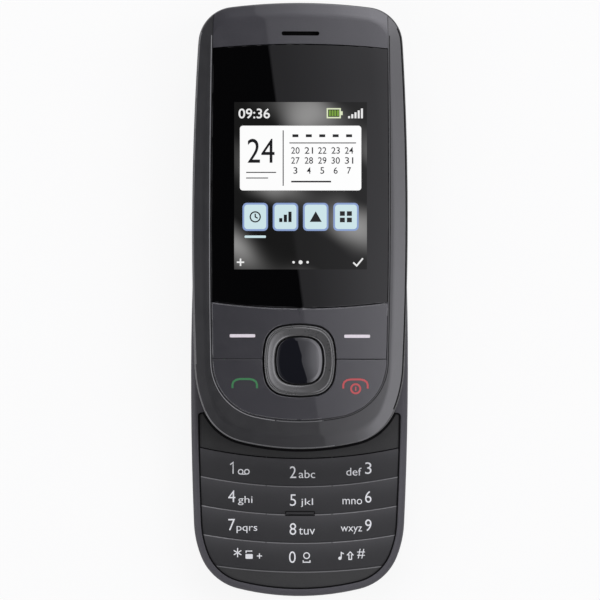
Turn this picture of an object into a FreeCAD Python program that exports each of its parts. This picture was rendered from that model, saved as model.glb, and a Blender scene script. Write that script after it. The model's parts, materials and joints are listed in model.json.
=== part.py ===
import FreeCAD, Part
import Sketcher
import math
import os

# Slider phone, lying on its back with the slider open.
# Origin: centre of the rear rest face of the base. +X right, +Y towards the earpiece, +Z out of
# the screen. The slider's own pieces are drawn about the slider's centre and placed by slide_travel.

Vector = FreeCAD.Vector
doc = FreeCAD.newDocument("slider_phone")

SIZES = {
    # base and slider, seen from the front
    "base_width": 46.8, "base_length": 97.0,
    "slider_step": 0.2, "slider_short": 1.0, "slide_gap": 0.2,
    "foot_corner": 11.5, "foot_shoulder": 22.0,
    "slider_foot_shoulder": 27.8,
    "head_corner": 8.0, "head_shoulder": 43.0,
    # clearances
    "fit_gap": 0.1, "seam_gap": 0.06, "key_gap": 0.2, "run_gap": 0.05, "thread_gap": 0.02,
    # rear cover and battery
    "cover_thickness": 1.0, "cover_wall_height": 2.6, "cover_wall": 1.1, "cover_side_wall": 1.4,
    "cover_edge_radius": 2.4, "deck_split": 21.4,
    "battery_inset": 6.4, "battery_thickness": 4.6, "battery_edge": 1.2,
    # base housings and board
    "floor_thickness": 0.5, "base_wall": 1.4, "base_edge_radius": 1.2, "lip_radius": 0.15,
    "board_thickness": 0.7, "board_headroom": 0.15, "deck_floor": 0.55,
    "board_inset": 5.9, "board_end_gap": 3.5, "board_corner": 7.0,
    "foot_room_length": 16.0, "foot_room_inset": 6.9, "foot_room_level": 2.3,
    "foot_room_corner": 5.0, "foot_wall": 1.25, "end_wall": 3.3, "head_wall": 4.0,
    "head_room_corner": 0.6, "deck_plate": 1.2, "bay_wall": 1.85, "cover_overlap": 2.0,
    # screws
    "screw_diameter": 1.4, "screw_head_diameter": 2.6, "screw_head_height": 0.6,
    "screw_boss_diameter": 3.4, "base_screw_inset": 3.9, "base_screw_end": 25.0,
    "slider_screw_inset": 3.8, "slider_screw_foot": 35.0, "slider_screw_head": 17.0,
    "base_screw_cover": 1.5, "slider_screw_depth": 3.0,
    # keypad
    "rim_side": 1.5, "rim_foot": 1.5, "recess_top_corner": 0.8,
    "ledge_width": 0.8, "ledge_thickness": 0.3, "web_thickness": 0.15,
    "bottom_trim": 3.9, "top_trim": 9.8, "trim_thickness": 0.9,
    "row_pitch": 6.1, "row_bow_radius": 111.0, "column_spare": 0.9,
    "key_thickness": 0.8, "key_slope": 0.22, "key_edge_radius": 0.2, "key_travel": 0.25,
    "plunger_diameter": 1.6, "plunger_length": 0.4, "dome_diameter": 4.0, "dome_height": 0.14,
    "film_thickness": 0.06, "film_margin": 0.6, "marker_length": 6.4, "marker_width": 0.6,
    "marker_height": 0.05, "marker_corner": 0.15,
    # slide rail
    "rail_inset": 5.4, "rail_foot": 41.1, "rail_head": 4.3, "sheet_thickness": 0.25,
    "spring_wire": 0.35, "flange_width": 1.7, "carriage_inset": 1.0, "carriage_length": 18.3,
    "stop_length": 0.9, "stop_width": 4.0, "stop_inset": 6.0,
    "flex_width": 9.0, "flex_thickness": 0.1, "flex_rise": 1.0, "flex_slot_length": 1.2,
    "flex_shift": 6.4, "flex_loop": 2.85, "flex_rise_shift": 6.55, "guide_length": 6.0,
    "guide_width": 1.1, "guide_reach": 0.05, "guide_gap": 0.03, "plinth_inset": 6.0,
    "plinth_end_inset": 1.2, "plinth_corner": 1.0, "spring_eye": 2.0, "rivet_diameter": 1.2,
    "rivet_inset": 3.2, "spring_moving_x": 8.0, "spring_step": 3.0, "spring_inner": 6.4,
    "spring_outer": 11.0, "rail_corner": 0.9, "rail_window_width": 14.0,
    "rail_window_corner": 2.0, "rail_window_foot": 7.0, "rail_window_head": 12.0,
    "rail_window_offset": 13.0,
    # slider housings
    "slider_floor": 0.8, "slider_cover_height": 1.2, "slider_wall": 1.3,
    "slider_shell_height": 5.5, "panel_depth": 1.3, "shelf_thickness": 0.6, "shelf_width": 1.2,
    "rail_slope_width": 2.6, "rail_slope_drop": 0.42, "rail_edge_radius": 0.35, "crease_radius": 6.0,
    "slider_back_radius": 0.5, "shelf_head_wall": 3.4,
    # front panel of the slider
    "frame_side": 4.0, "frame_foot": 6.1, "panel_corner": 12.0, "earpiece_length": 8.9,
    "key_area_length": 30.4, "window_top_bow": 196.0, "window_foot_bow": 139.0, "panel_recess": 0.05,
    "soft_key_length": 11.05, "plate_thickness": 0.95, "plate_edge_radius": 0.15,
    "ring_size": 15.2, "ring_corner": 4.4, "ring_gap": 0.36, "ring_inner": 10.64,
    "ring_inner_corner": 3.6, "ring_rise": 0.2, "ring_edge_radius": 0.4,
    "select_size": 10.0, "select_corner": 3.3, "select_edge_radius": 0.7, "navi_offset": 11.35,
    "navi_push": 5.4, "navi_push_diameter": 1.3, "pad_depth": 0.6, "pad_thickness": 0.55,
    "pad_inset": 1.0, "pad_hole": 4.0, "plunger_root": 0.3,
    "soft_push_inset": 6.9, "soft_push_y": 6.0, "call_push_inset": 7.4, "call_push_y": 4.8,
    # display
    "lcd_inset": 2.4, "lcd_end_inset": 5.45, "lcd_thickness": 1.2, "lcd_shift": 2.05,
    "screen_inset": 2.55, "screen_end_inset": 4.9, "lcd_frame_wall": 0.4, "lcd_frame_height": 2.2,
    "gasket_thickness": 0.1, "gasket_width": 1.0, "gasket_margin": 1.0,
    # slider electronics
    "ui_board_inset": 6.7, "ui_board_length": 21.5, "ui_board_thickness": 0.6,
    "ui_board_corner": 5.0, "ui_board_drop": 1.5, "ui_board_lift": 0.4, "post_diameter": 3.0,
    "ui_post_inset": 4.0, "ui_post_spread": 12.9, "lcd_post_inset_x": 3.0, "lcd_post_inset_y": 4.0,
    "navi_dome_diameter": 2.8,
    "earpiece_slot_length": 8.1, "earpiece_slot_width": 0.9, "earpiece_depth": 6.6,
    "speaker_width": 12.0, "speaker_length": 6.0, "speaker_thickness": 2.2,
    "speaker_corner": 1.5, "mesh_thickness": 0.15, "mesh_margin": 0.8,
    # sockets, microphone and vibrator
    "socket_spread": 14.0, "socket_axis": 4.5, "socket_nose": 3.3, "socket_nose_inset": 0.9,
    "socket_body_width": 6.0, "socket_body_length": 9.0, "socket_back": 1.0,
    "charger_bore": 2.1, "charger_seat": 5.5, "charger_step": 0.6, "charger_pin": 0.6,
    "charger_pin_setback": 0.2, "headset_bore": 2.55,
    "microphone_port": 1.0, "microphone_size": 1.6, "microphone_width": 4.0,
    "microphone_length": 3.0, "microphone_hole": 0.8, "microphone_hole_depth": 1.0,
    "motor_diameter": 3.9, "motor_length": 8.0, "motor_shaft": 0.8, "motor_side_gap": 3.0,
    "motor_head_gap": 0.6, "weight_radius": 1.8, "weight_length": 3.0,
    # camera and loudspeaker
    "camera_inset": 10.9, "camera_lift": 1.8, "camera_window_diameter": 8.0, "camera_seat": 0.55,
    "camera_window_thickness": 0.8, "camera_shelf": 0.2, "camera_ring_width": 1.2,
    "camera_body": 8.0, "camera_light": 6.0, "camera_eye": 5.0, "camera_eye_depth": 0.6,
    "loudspeaker_inset": 15.4, "loudspeaker_width": 15.0, "loudspeaker_length": 11.0,
    "loudspeaker_height": 2.9, "loudspeaker_corner": 2.0, "loudspeaker_rim": 1.0,
    "loudspeaker_front": 0.3, "grille_slot": 0.7, "grille_pitch": 1.7, "grille_length": 9.0,
    "speaker_mesh_width": 11.0, "speaker_mesh_length": 10.2,
    # SIM, battery contacts, shield and antenna
    "sim_spare": 10.0, "sim_length": 15.0, "sim_thickness": 0.76, "sim_holder_height": 1.4,
    "sim_drop": 1.2, "sim_inset": 0.4, "sim_side_wall": 0.3, "sim_notch": 3.0,
    "sim_window_depth": 0.5, "sim_window_width": 15.0, "sim_window_length": 9.0,
    "contact_height": 0.9, "contact_width": 7.8, "contact_pitch": 2.4, "contact_slot": 1.2,
    "shield_inset": 9.5, "shield_shift": 4.2, "shield_width": 13.0, "shield_length": 6.4,
    "shield_height": 1.4, "shield_wall": 0.2, "shield_corner": 0.5,
    "antenna_thickness": 0.2, "antenna_inset": 6.5, "antenna_length": 8.0, "antenna_shift": 3.0,
    "antenna_slit": 1.0, "antenna_slit_inset": 3.5, "antenna_slit_shift": 2.0,
}

# Turns of the arcs that make up each rounded end, in degrees: the end arc, then what follows it.
FOOT_TURNS = (14.0, 54.0, 19.5)
HEAD_TURNS = (7.3, 77.0, 2.3)
PANEL_TURNS = (12.0, 76.6)
SQUIRCLE_TURNS = (11.0, 68.0)
ROW_TURN = 30.0      # each key is cut from a row turned this far about the rows' centre
SLOT_ROUNDING = 0.45 # corner radius of a slot, as a share of its width
FAR = 400.0          # beyond any piece, for cuts that keep only what is inside a figure
DRAWN_FLAT = 1e-4    # how level an edge has to be to count as lying at one height

sheet = doc.addObject("Spreadsheet::Sheet", "Sizes")
for row, (alias, number) in enumerate(SIZES.items(), start=1):
    sheet.set(f"A{row}", alias)
    sheet.set(f"B{row}", str(number))
    sheet.setAlias(f"B{row}", alias)
doc.recompute()


class Length:
    """A size: its number, and the expression on the sheet's cells that gives it."""

    def __init__(self, number, text):
        self.number = float(number)
        self.text = text

    def __float__(self):
        return self.number

    def __add__(self, other):
        other = as_length(other)
        return Length(self.number + other.number, f"({self.text} + {other.text})")

    def __sub__(self, other):
        other = as_length(other)
        return Length(self.number - other.number, f"({self.text} - {other.text})")

    def __mul__(self, factor):
        return Length(self.number * factor, f"({self.text} * {factor:.9g})")

    def __truediv__(self, factor):
        return Length(self.number / factor, f"({self.text} / {factor:.9g})")

    def __neg__(self):
        return Length(-self.number, f"(0 - {self.text})")

    def __radd__(self, other):
        return as_length(other) + self

    def __rsub__(self, other):
        return as_length(other) - self


def as_length(number):
    return number if isinstance(number, Length) else Length(number, f"{number:.9g}")


class Sheet:
    """The sheet's cells as lengths: size.base_width and so on."""

    def __getattr__(self, alias):
        return Length(SIZES[alias], f"Sizes.{alias}")


size = Sheet()

# Sizes that follow from others.
slider_width = size.base_width - size.slider_step * 2
slider_length = size.base_length - size.slider_short
rail_width = size.base_width - size.rail_inset * 2
rail_length = size.base_length - size.rail_foot - size.rail_head
slide_travel = rail_length - size.carriage_length - size.stop_length * 2 - size.fit_gap * 2
carriage_width = rail_width - size.carriage_inset * 2
column_width = (size.base_width - size.rim_side * 2 - size.column_spare) / 3
board_width = size.base_width - size.board_inset * 2
board_length = size.base_length - size.board_end_gap * 2
foot_room_width = size.base_width - size.foot_room_inset * 2
head_room_width = board_width
head_room_length = size.deck_split + size.fit_gap - size.head_wall
battery_width = size.base_width - size.battery_inset * 2
battery_length = (size.base_length - size.end_wall - size.foot_room_length - size.foot_wall
                  - size.bay_wall - size.deck_split - size.fit_gap * 2)
sim_width = head_room_width - size.sim_spare
panel_half_width = slider_width / 2 - size.frame_side
lcd_width = (panel_half_width - size.lcd_inset) * 2
screen_width = lcd_width - size.screen_inset * 2
window_length = slider_length - size.earpiece_length - size.key_area_length
lcd_length = window_length - size.lcd_end_inset * 2
screen_length = lcd_length - size.screen_end_inset * 2
ui_board_width = slider_width - size.ui_board_inset * 2


def bind(target, name, length):
    target.setExpression(name, as_length(length).text)


# ---------------------------------------------------------------- sketches

class Drawing:
    """A sketch on one of its body's origin planes, raised from it by level."""

    def __init__(self, body, level=0.0, plane="XY_Plane"):
        planes = {feature.Role: feature for feature in body.Origin.OriginFeatures}
        self.sketch = body.newObject("Sketcher::SketchObject", body.Name + "_sketch")
        self.sketch.AttachmentSupport = [(planes[plane], "")]
        self.sketch.MapMode = "FlatFace"
        offset = Vector(0, 0, float(as_length(level)))
        self.sketch.AttachmentOffset = FreeCAD.Placement(offset, FreeCAD.Rotation())
        bind(self.sketch, ".AttachmentOffset.Base.z", level)
        self.constraints = []
        self.dimensions = {}

    def curves(self, geometry, construction=False):
        return list(self.sketch.addGeometry(geometry, construction))

    def tie(self, kind, *places):
        self.constraints.append(Sketcher.Constraint(kind, *places))

    def dimension(self, kind, *places, length, number=None):
        self.dimensions[len(self.constraints)] = as_length(length)
        self.tie(kind, *places, float(length) if number is None else number)

    def place(self, curve, point, x, y):
        """Hold a point of a curve at x, y from the origin."""
        self.dimension("DistanceX", -1, 1, curve, point, length=x)
        self.dimension("DistanceY", -1, 1, curve, point, length=y)

    def finish(self):
        self.sketch.addConstraint(self.constraints)
        for index, length in self.dimensions.items():
            bind(self.sketch, f"Constraints[{index}]", length)
        return self.sketch


def spot(x, y):
    return Vector(float(x), float(y), 0)


def box(x, y, width, length, corner=None):
    """A rectangle about x, y, with rounded corners where a corner radius is given."""
    low_x, high_x = as_length(x) - as_length(width) / 2, as_length(x) + as_length(width) / 2
    low_y, high_y = as_length(y) - as_length(length) / 2, as_length(y) + as_length(length) / 2

    def sharp(drawing):
        corners = [spot(low_x, low_y), spot(high_x, low_y), spot(high_x, high_y), spot(low_x, high_y)]
        lines = drawing.curves([Part.LineSegment(corners[i], corners[(i + 1) % 4]) for i in range(4)])
        for i in range(4):
            drawing.tie("Coincident", lines[i], 2, lines[(i + 1) % 4], 1)
            drawing.tie("Horizontal" if i % 2 == 0 else "Vertical", lines[i])
        drawing.place(lines[0], 1, low_x, low_y)
        drawing.place(lines[2], 1, high_x, high_y)

    def rounded(drawing):
        r = float(corner)
        centres = [spot(high_x - r, low_y + r), spot(high_x - r, high_y - r),
                   spot(low_x + r, high_y - r), spot(low_x + r, low_y + r)]
        arcs = []
        for i, centre in enumerate(centres):
            start = (i - 1) * math.pi / 2
            circle = Part.Circle(centre, Vector(0, 0, 1), r)
            arcs.append(Part.ArcOfCircle(circle, start, start + math.pi / 2))
        lines = [Part.LineSegment(arcs[i - 1].EndPoint, arcs[i].StartPoint) for i in range(4)]
        curves = drawing.curves([curve for pair in zip(lines, arcs) for curve in pair])
        for i in range(8):
            drawing.tie("Tangent", curves[i], 2, curves[(i + 1) % 8], 1)
        for i in range(4):
            drawing.tie("Horizontal" if i % 2 == 0 else "Vertical", curves[2 * i])
        for i in range(1, 4):
            drawing.tie("Equal", curves[1], curves[2 * i + 1])
        drawing.dimension("Radius", curves[1], length=corner)
        drawing.dimension("DistanceY", -1, 1, curves[0], 1, length=low_y)
        drawing.dimension("DistanceX", -1, 1, curves[2], 1, length=high_x)
        drawing.dimension("DistanceY", -1, 1, curves[4], 1, length=high_y)
        drawing.dimension("DistanceX", -1, 1, curves[6], 1, length=low_x)

    return sharp if corner is None else rounded


def strip(low_x, high_x, low_y, high_y):
    """A rectangle given by its edges."""
    low_x, high_x, low_y, high_y = map(as_length, (low_x, high_x, low_y, high_y))
    return box((low_x + high_x) / 2, (low_y + high_y) / 2, high_x - low_x, high_y - low_y)


def disc(x, y, diameter):
    def figure(drawing):
        circle = Part.Circle(spot(x, y), Vector(0, 0, 1), float(diameter) / 2)
        curve, = drawing.curves([circle])
        drawing.dimension("Diameter", curve, length=diameter)
        drawing.place(curve, 3, x, y)

    return figure


def polygon(points):
    def figure(drawing):
        spots = [spot(*point) for point in points]
        count = len(spots)
        lines = [Part.LineSegment(spots[i], spots[(i + 1) % count]) for i in range(count)]
        lines = drawing.curves(lines)
        for i in range(count):
            drawing.tie("Coincident", lines[i], 2, lines[(i + 1) % count], 1)
            drawing.place(lines[i], 1, *points[i])

    return figure


def ribbon(points, thickness):
    """A strip of even thickness along a path whose legs run along X or Y."""
    half = as_length(thickness) / 2
    legs = [spot(*b) - spot(*a) for a, b in zip(points, points[1:])]
    for leg in legs:
        leg.normalize()
    left, right = [], []
    for i, (x, y) in enumerate(points):
        before, after = legs[max(i - 1, 0)], legs[min(i, len(legs) - 1)]
        across = Vector(-before.y, before.x, 0)
        if (before - after).Length > DRAWN_FLAT:
            across += Vector(-after.y, after.x, 0)
        left.append((x + half * round(across.x), y + half * round(across.y)))
        right.append((x - half * round(across.x), y - half * round(across.y)))
    return polygon(left + right[::-1])


def rounded_end(half_width, depth, middle, turns):
    """Radii and turns of the arcs of a quarter outline, from the middle of the end to the side.

    The first and the last radius are what makes the quarter half_width wide and depth deep."""
    stops = [0.0]
    for turn in turns:
        stops.append(stops[-1] + math.radians(turn))
    stops.append(math.pi / 2)
    across = [math.sin(b) - math.sin(a) for a, b in zip(stops, stops[1:])]
    along = [math.cos(a) - math.cos(b) for a, b in zip(stops, stops[1:])]
    x, y = as_length(half_width), as_length(depth)
    for radius, over, up in zip(middle, across[1:-1], along[1:-1]):
        x, y = x - radius * over, y - radius * up
    scale = across[0] * along[-1] - across[-1] * along[0]
    end = (x * along[-1] - y * across[-1]) / scale
    side = (y * across[0] - x * along[0]) / scale
    radii = [end] + list(middle) + [side]
    return list(zip(radii, [b - a for a, b in zip(stops, stops[1:])]))


def arcs_along(start, heading, steps):
    """Arcs that turn left one after another, each of a radius and a turn."""
    arcs = []
    for radius, turn in steps:
        r = float(radius)
        centre = Vector(start.x - r * math.sin(heading), start.y + r * math.cos(heading), 0)
        circle = Part.Circle(centre, Vector(0, 0, 1), r)
        first = heading - math.pi / 2
        arcs.append(Part.ArcOfCircle(circle, first, first + turn))
        heading += turn
        start = Vector(centre.x + r * math.sin(heading), centre.y - r * math.cos(heading), 0)
    return arcs


def oval(half_width, foot, head, foot_middle, foot_turns, head_middle, head_turns):
    """A closed outline of tangent arcs: foot below the X axis, head above it."""
    below = rounded_end(half_width, foot, foot_middle, foot_turns)
    above = rounded_end(half_width, head, head_middle, head_turns)
    right = below[1:] + above[:0:-1]

    def figure(drawing):
        end, turn = below[0]
        steps = [(end, 2 * turn)] + right + [(above[0][0], 2 * above[0][1])] + right[::-1]
        start = Vector(-float(end) * math.sin(turn), float(end) * (1 - math.cos(turn)) - float(foot), 0)
        arcs = drawing.curves(arcs_along(start, -turn, steps))
        count, top = len(arcs), len(right) + 1
        side, other_side = arcs[len(below) - 1], arcs[count - len(below) + 1]
        for i in range(count):
            drawing.tie("Tangent", arcs[i], 2, arcs[(i + 1) % count], 1)
        for end_arc, middle in ((arcs[0], foot_middle), (arcs[top], head_middle)):
            drawing.tie("PointOnObject", end_arc, 3, -2)
            if len(middle) > 1:
                drawing.tie("Horizontal", end_arc, 1, end_arc, 2)
        for arc, point in ((side, 2), (other_side, 1)):
            drawing.tie("PointOnObject", arc, 3, -1)
            drawing.tie("PointOnObject", arc, point, -1)
        for i in range(1, top):
            drawing.tie("Equal", arcs[i], arcs[count - i])
        for i, radius in enumerate(foot_middle):
            drawing.dimension("Radius", arcs[1 + i], length=radius)
        for i, radius in enumerate(head_middle):
            drawing.dimension("Radius", arcs[top - 1 - i], length=radius)
        drawing.dimension("DistanceX", -1, 1, side, 2, length=half_width)
        drawing.dimension("DistanceX", other_side, 1, -1, 1, length=half_width)
        low, high = drawing.curves([Part.Point(spot(0, -float(foot))), Part.Point(spot(0, head))], True)
        for mark, arc in ((low, arcs[0]), (high, arcs[top])):
            drawing.tie("PointOnObject", mark, 1, -2)
            drawing.tie("PointOnObject", mark, 1, arc)
        drawing.dimension("DistanceY", low, 1, -1, 1, length=foot)
        drawing.dimension("DistanceY", -1, 1, high, 1, length=head)
        for turns, first, step in ((foot_turns, 0, 1), (head_turns, top, -1)):
            drawing.tie("Angle", arcs[first], math.radians(2 * turns[0]))
            for i, degrees in enumerate(turns[1:], start=1):
                drawing.tie("Angle", arcs[first + i * step], math.radians(degrees))

    return figure


def tray(half_width, foot, top, middle, turns, corner):
    """A rounded end below and a straight edge with small corners at height top.

    The sides are arcs up to the X axis and straight above it."""
    end, turn = rounded_end(half_width, foot, middle, turns)[0]
    steps = rounded_end(half_width, foot, middle, turns)[1:]
    side_radius = steps[-1][0]

    def below_axis(drawing):
        r, reach = float(side_radius), -float(top)
        small = float(corner)
        # The small corner touches the side arc from inside, and the top edge.
        centre_y = -reach - small
        rise = math.asin(centre_y / (r - small))
        side_turn = steps[-1][1] + rise
        right = steps[:-1] + [(side_radius, side_turn), (corner, math.pi / 2 - rise)]
        start = Vector(-float(end) * math.sin(turn), float(end) * (1 - math.cos(turn)) - float(foot), 0)
        arcs = arcs_along(start, -turn, [(end, 2 * turn)] + right)
        mirrored = [mirror_arc(arc) for arc in arcs[:0:-1]]
        edge = Part.LineSegment(arcs[-1].EndPoint, mirrored[0].StartPoint)
        curves = drawing.curves(arcs + [edge] + mirrored)
        count, over = len(curves), len(arcs)
        for i in range(count):
            drawing.tie("Tangent", curves[i], 2, curves[(i + 1) % count], 1)
        drawing.tie("PointOnObject", curves[0], 3, -2)
        for i in range(1, over):
            drawing.tie("Equal", curves[i], curves[count - i])
        drawing.dimension("Radius", curves[0], length=end)
        for i, (radius, _) in enumerate(right):
            drawing.dimension("Radius", curves[1 + i], length=radius)
        for curve, sign in ((curves[over - 2], 1), (curves[over + 2], -1)):
            drawing.tie("PointOnObject", curve, 3, -1)
            inward = half_width - side_radius
            drawing.dimension("DistanceX", -1, 1, curve, 3, length=inward if sign > 0 else -inward)
        for arc in (curves[1], curves[-1]):
            drawing.tie("Angle", arc, math.radians(turns[1]))
        mark, = drawing.curves([Part.Point(spot(0, -float(foot)))], True)
        drawing.tie("PointOnObject", mark, 1, -2)
        drawing.tie("PointOnObject", mark, 1, curves[0])
        drawing.dimension("DistanceY", mark, 1, -1, 1, length=foot)
        drawing.tie("Horizontal", curves[over])
        drawing.dimension("DistanceY", -1, 1, curves[over], 1, length=top)

    def above_axis(drawing):
        start = Vector(-float(end) * math.sin(turn), float(end) * (1 - math.cos(turn)) - float(foot), 0)
        arcs = arcs_along(start, -turn, [(end, 2 * turn)] + steps)
        mirrored = [mirror_arc(arc) for arc in arcs[:0:-1]]
        corners = [spot(half_width, top), spot(-half_width, top)]
        edges = [Part.LineSegment(arcs[-1].EndPoint, corners[0]), Part.LineSegment(*corners),
                 Part.LineSegment(corners[1], mirrored[0].StartPoint)]
        curves = drawing.curves(arcs + edges + mirrored)
        count, over = len(curves), len(arcs)
        for i in range(count):
            kind = "Coincident" if i in (over, over + 1) else "Tangent"
            drawing.tie(kind, curves[i], 2, curves[(i + 1) % count], 1)
        drawing.tie("PointOnObject", curves[0], 3, -2)
        for i in range(1, over):
            drawing.tie("Equal", curves[i], curves[count - i])
        drawing.dimension("Radius", curves[0], length=end)
        for i, (radius, _) in enumerate(steps):
            drawing.dimension("Radius", curves[1 + i], length=radius)
        drawing.tie("Vertical", curves[over])
        drawing.tie("Horizontal", curves[over + 1])
        drawing.tie("Vertical", curves[over + 2])
        drawing.place(curves[over], 2, half_width, top)
        drawing.dimension("DistanceX", curves[over + 1], 2, -1, 1, length=half_width)
        for curve, point in ((curves[over], 1), (curves[over + 2], 2)):
            drawing.tie("PointOnObject", curve, point, -1)

    return below_axis if float(top) < 0 else above_axis


def mirror_arc(arc):
    """The arc's image across the Y axis, drawn the other way round so that the chain goes on."""
    centre = Vector(-arc.Center.x, arc.Center.y, 0)
    circle = Part.Circle(centre, Vector(0, 0, 1), arc.Radius)
    first, last = arc.FirstParameter, arc.LastParameter
    return Part.ArcOfCircle(circle, math.pi - last, math.pi - first)


# ---------------------------------------------------------------- bodies and features

PIECES = []


def piece(name, in_slider=False):
    """A body that becomes one node; the slider's pieces are placed at the slider's centre."""
    body = doc.addObject("PartDesign::Body", name)
    body.Label = name
    body.AllowCompound = True
    if in_slider:
        body.Placement.Base.y = float(slide_travel)
        bind(body, ".Placement.Base.y", slide_travel)
    PIECES.append(body)
    return body


def draw(body, level, figures, plane="XY_Plane"):
    drawing = Drawing(body, level, plane)
    for figure in figures:
        figure(drawing)
    return drawing.finish()


def add(body, level, height, *figures):
    """Pad figures drawn at level up by height."""
    pad = body.newObject("PartDesign::Pad", body.Name + "_pad")
    pad.Profile = draw(body, level, figures)
    bind(pad, "Length", height)
    body.Tip = pad
    doc.recompute()
    return pad


def cut(body, level, height, *figures):
    """Pocket figures drawn at level up by height."""
    before = body.Shape.Volume
    pocket = body.newObject("PartDesign::Pocket", body.Name + "_pocket")
    pocket.Profile = draw(body, level, figures)
    pocket.Reversed = True
    bind(pocket, "Length", height)
    body.Tip = pocket
    doc.recompute()
    if not body.Shape.Volume < before:
        raise RuntimeError(f"a pocket in {body.Label} cuts nothing")
    return pocket


def keep(body, level, height, figure):
    """Pocket everything outside a figure."""
    return cut(body, level, height, box(0, 0, 2 * FAR, 2 * FAR), figure)


def bore_along_y(body, x, z, diameter, low_y, high_y):
    """Pocket a round hole that runs along Y, from low_y to high_y."""
    before = body.Shape.Volume
    pocket = body.newObject("PartDesign::Pocket", body.Name + "_bore")
    # An XZ sketch faces -Y, so its level is counted towards -Y.
    pocket.Profile = draw(body, -as_length(high_y), [disc(x, z, diameter)], "XZ_Plane")
    pocket.Reversed = True
    bind(pocket, "Length", as_length(high_y) - as_length(low_y))
    body.Tip = pocket
    doc.recompute()
    if not body.Shape.Volume < before:
        raise RuntimeError(f"a bore in {body.Label} cuts nothing")


def rod_along(body, plane, level, length, *figures):
    """Pad figures drawn on the XZ plane towards -Y, or on the YZ plane towards +X."""
    pad = body.newObject("PartDesign::Pad", body.Name + "_rod")
    pad.Profile = draw(body, level, figures, plane)
    bind(pad, "Length", length)
    body.Tip = pad
    doc.recompute()


def edges_at(level, inside=None):
    """Picks the edges that lie flat at level, within half a width of the Y axis if it is given."""
    def chosen(edge):
        bounds = edge.BoundBox
        flat = abs(bounds.ZMin - float(level)) < DRAWN_FLAT and abs(bounds.ZMax - float(level)) < DRAWN_FLAT
        near = inside is None or max(abs(bounds.XMin), abs(bounds.XMax)) < float(inside)
        return flat and near
    return chosen


def dress(body, kind, chosen, **sizes):
    """Fillet or chamfer the chosen edges of what the body is so far."""
    base = body.Tip
    names = [f"Edge{i}" for i, edge in enumerate(base.Shape.Edges, start=1) if chosen(edge)]
    if not names:
        raise RuntimeError(f"no edge of {body.Label} to {kind.lower()}")
    feature = body.newObject(f"PartDesign::{kind}", f"{body.Name}_{kind.lower()}")
    feature.Base = (base, names)
    for name, length in sizes.items():
        bind(feature, name, length)
    body.Tip = feature
    doc.recompute()
    return feature


def fillet(body, radius, chosen):
    return dress(body, "Fillet", chosen, Radius=radius)


# ---------------------------------------------------------------- shared outlines and heights

def base_outline(inset=0.0):
    inset = as_length(inset)
    return oval(size.base_width / 2 - inset, size.base_length / 2 - inset,
                size.base_length / 2 - inset,
                (size.foot_corner - inset, size.foot_shoulder - inset), FOOT_TURNS,
                (size.head_corner - inset, size.head_shoulder - inset), HEAD_TURNS)


def slider_outline(inset=0.0):
    inset = as_length(inset)
    return oval(slider_width / 2 - inset, slider_length / 2 - inset,
                slider_length / 2 - inset,
                (size.foot_corner - inset, size.slider_foot_shoulder - inset), FOOT_TURNS,
                (size.head_corner - inset, size.head_shoulder - inset), HEAD_TURNS)


def recess_outline(inset=0.0):
    """The keypad's recess in the base, inside an even rim."""
    inset = as_length(inset)
    rim = size.rim_side + inset
    return tray(size.base_width / 2 - rim, size.base_length / 2 - size.rim_foot - inset,
                recess_top - inset, (size.foot_corner - rim, size.foot_shoulder - rim), FOOT_TURNS,
                size.recess_top_corner)


def panel_outline(inset=0.0, head=None):
    """The front panel's opening in the slider's frame, past its head unless head is given."""
    inset = as_length(inset)
    return oval(panel_half_width - inset,
                slider_length / 2 - size.frame_foot - inset,
                slider_length * 0.75 if head is None else head,
                (size.panel_corner - inset,), PANEL_TURNS,
                (size.head_corner,), PANEL_TURNS)


def squircle(x, y, width, corner):
    """A square with bowed sides and round corners; drawn about the origin and then placed."""
    half = as_length(width) / 2
    quarter = rounded_end(half, half, (as_length(corner),), SQUIRCLE_TURNS)
    bow, turn = quarter[0]
    corner_turn = quarter[1][1]

    def figure(drawing):
        centre_x, centre_y = float(as_length(x)), float(as_length(y))
        radius = float(bow)
        start = Vector(centre_x - radius * math.sin(turn),
                       centre_y - float(half) + radius * (1 - math.cos(turn)), 0)
        arcs = drawing.curves(arcs_along(start, -turn, [(bow, 2 * turn), (corner, corner_turn)] * 4))
        for i in range(8):
            drawing.tie("Tangent", arcs[i], 2, arcs[(i + 1) % 8], 1)
        for i in range(1, 4):
            drawing.tie("Equal", arcs[0], arcs[2 * i])
            drawing.tie("Equal", arcs[1], arcs[2 * i + 1])
        drawing.dimension("Radius", arcs[0], length=bow)
        drawing.dimension("Radius", arcs[1], length=corner)
        inward = bow - half
        drawing.place(arcs[0], 3, x, as_length(y) + inward)
        drawing.place(arcs[4], 3, x, as_length(y) - inward)
        drawing.dimension("DistanceX", -1, 1, arcs[2], 3, length=as_length(x) - inward)

    return figure


foot_y = -size.base_length / 2
row_edges = [foot_y + size.rim_foot + size.bottom_trim + size.row_pitch * (4 - n) for n in range(5)]
recess_top = row_edges[0] + size.top_trim
bow_centre = (row_edges[0] + row_edges[4]) / 2 + size.row_bow_radius
split_y = size.base_length / 2 - size.deck_split      # where the rear cover meets the camera deck

battery_level = size.cover_thickness + size.fit_gap
bay_top = battery_level + size.battery_thickness + size.fit_gap
board_level = bay_top + size.floor_thickness           # also where the base's housings part
board_top = board_level + size.board_thickness
cavity_top = board_top + size.board_headroom
web_level = cavity_top + size.ledge_thickness
key_level = web_level + size.web_thickness + size.key_travel + size.run_gap
deck_level = cavity_top + size.deck_floor              # floor of the slide rail's recess
sandwich_level = deck_level + size.sheet_thickness     # between rail plate and carriage
carriage_level = sandwich_level + size.spring_wire + size.fit_gap
flange_level = carriage_level + size.sheet_thickness + size.run_gap
base_top = flange_level + size.sheet_thickness + size.run_gap

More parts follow.
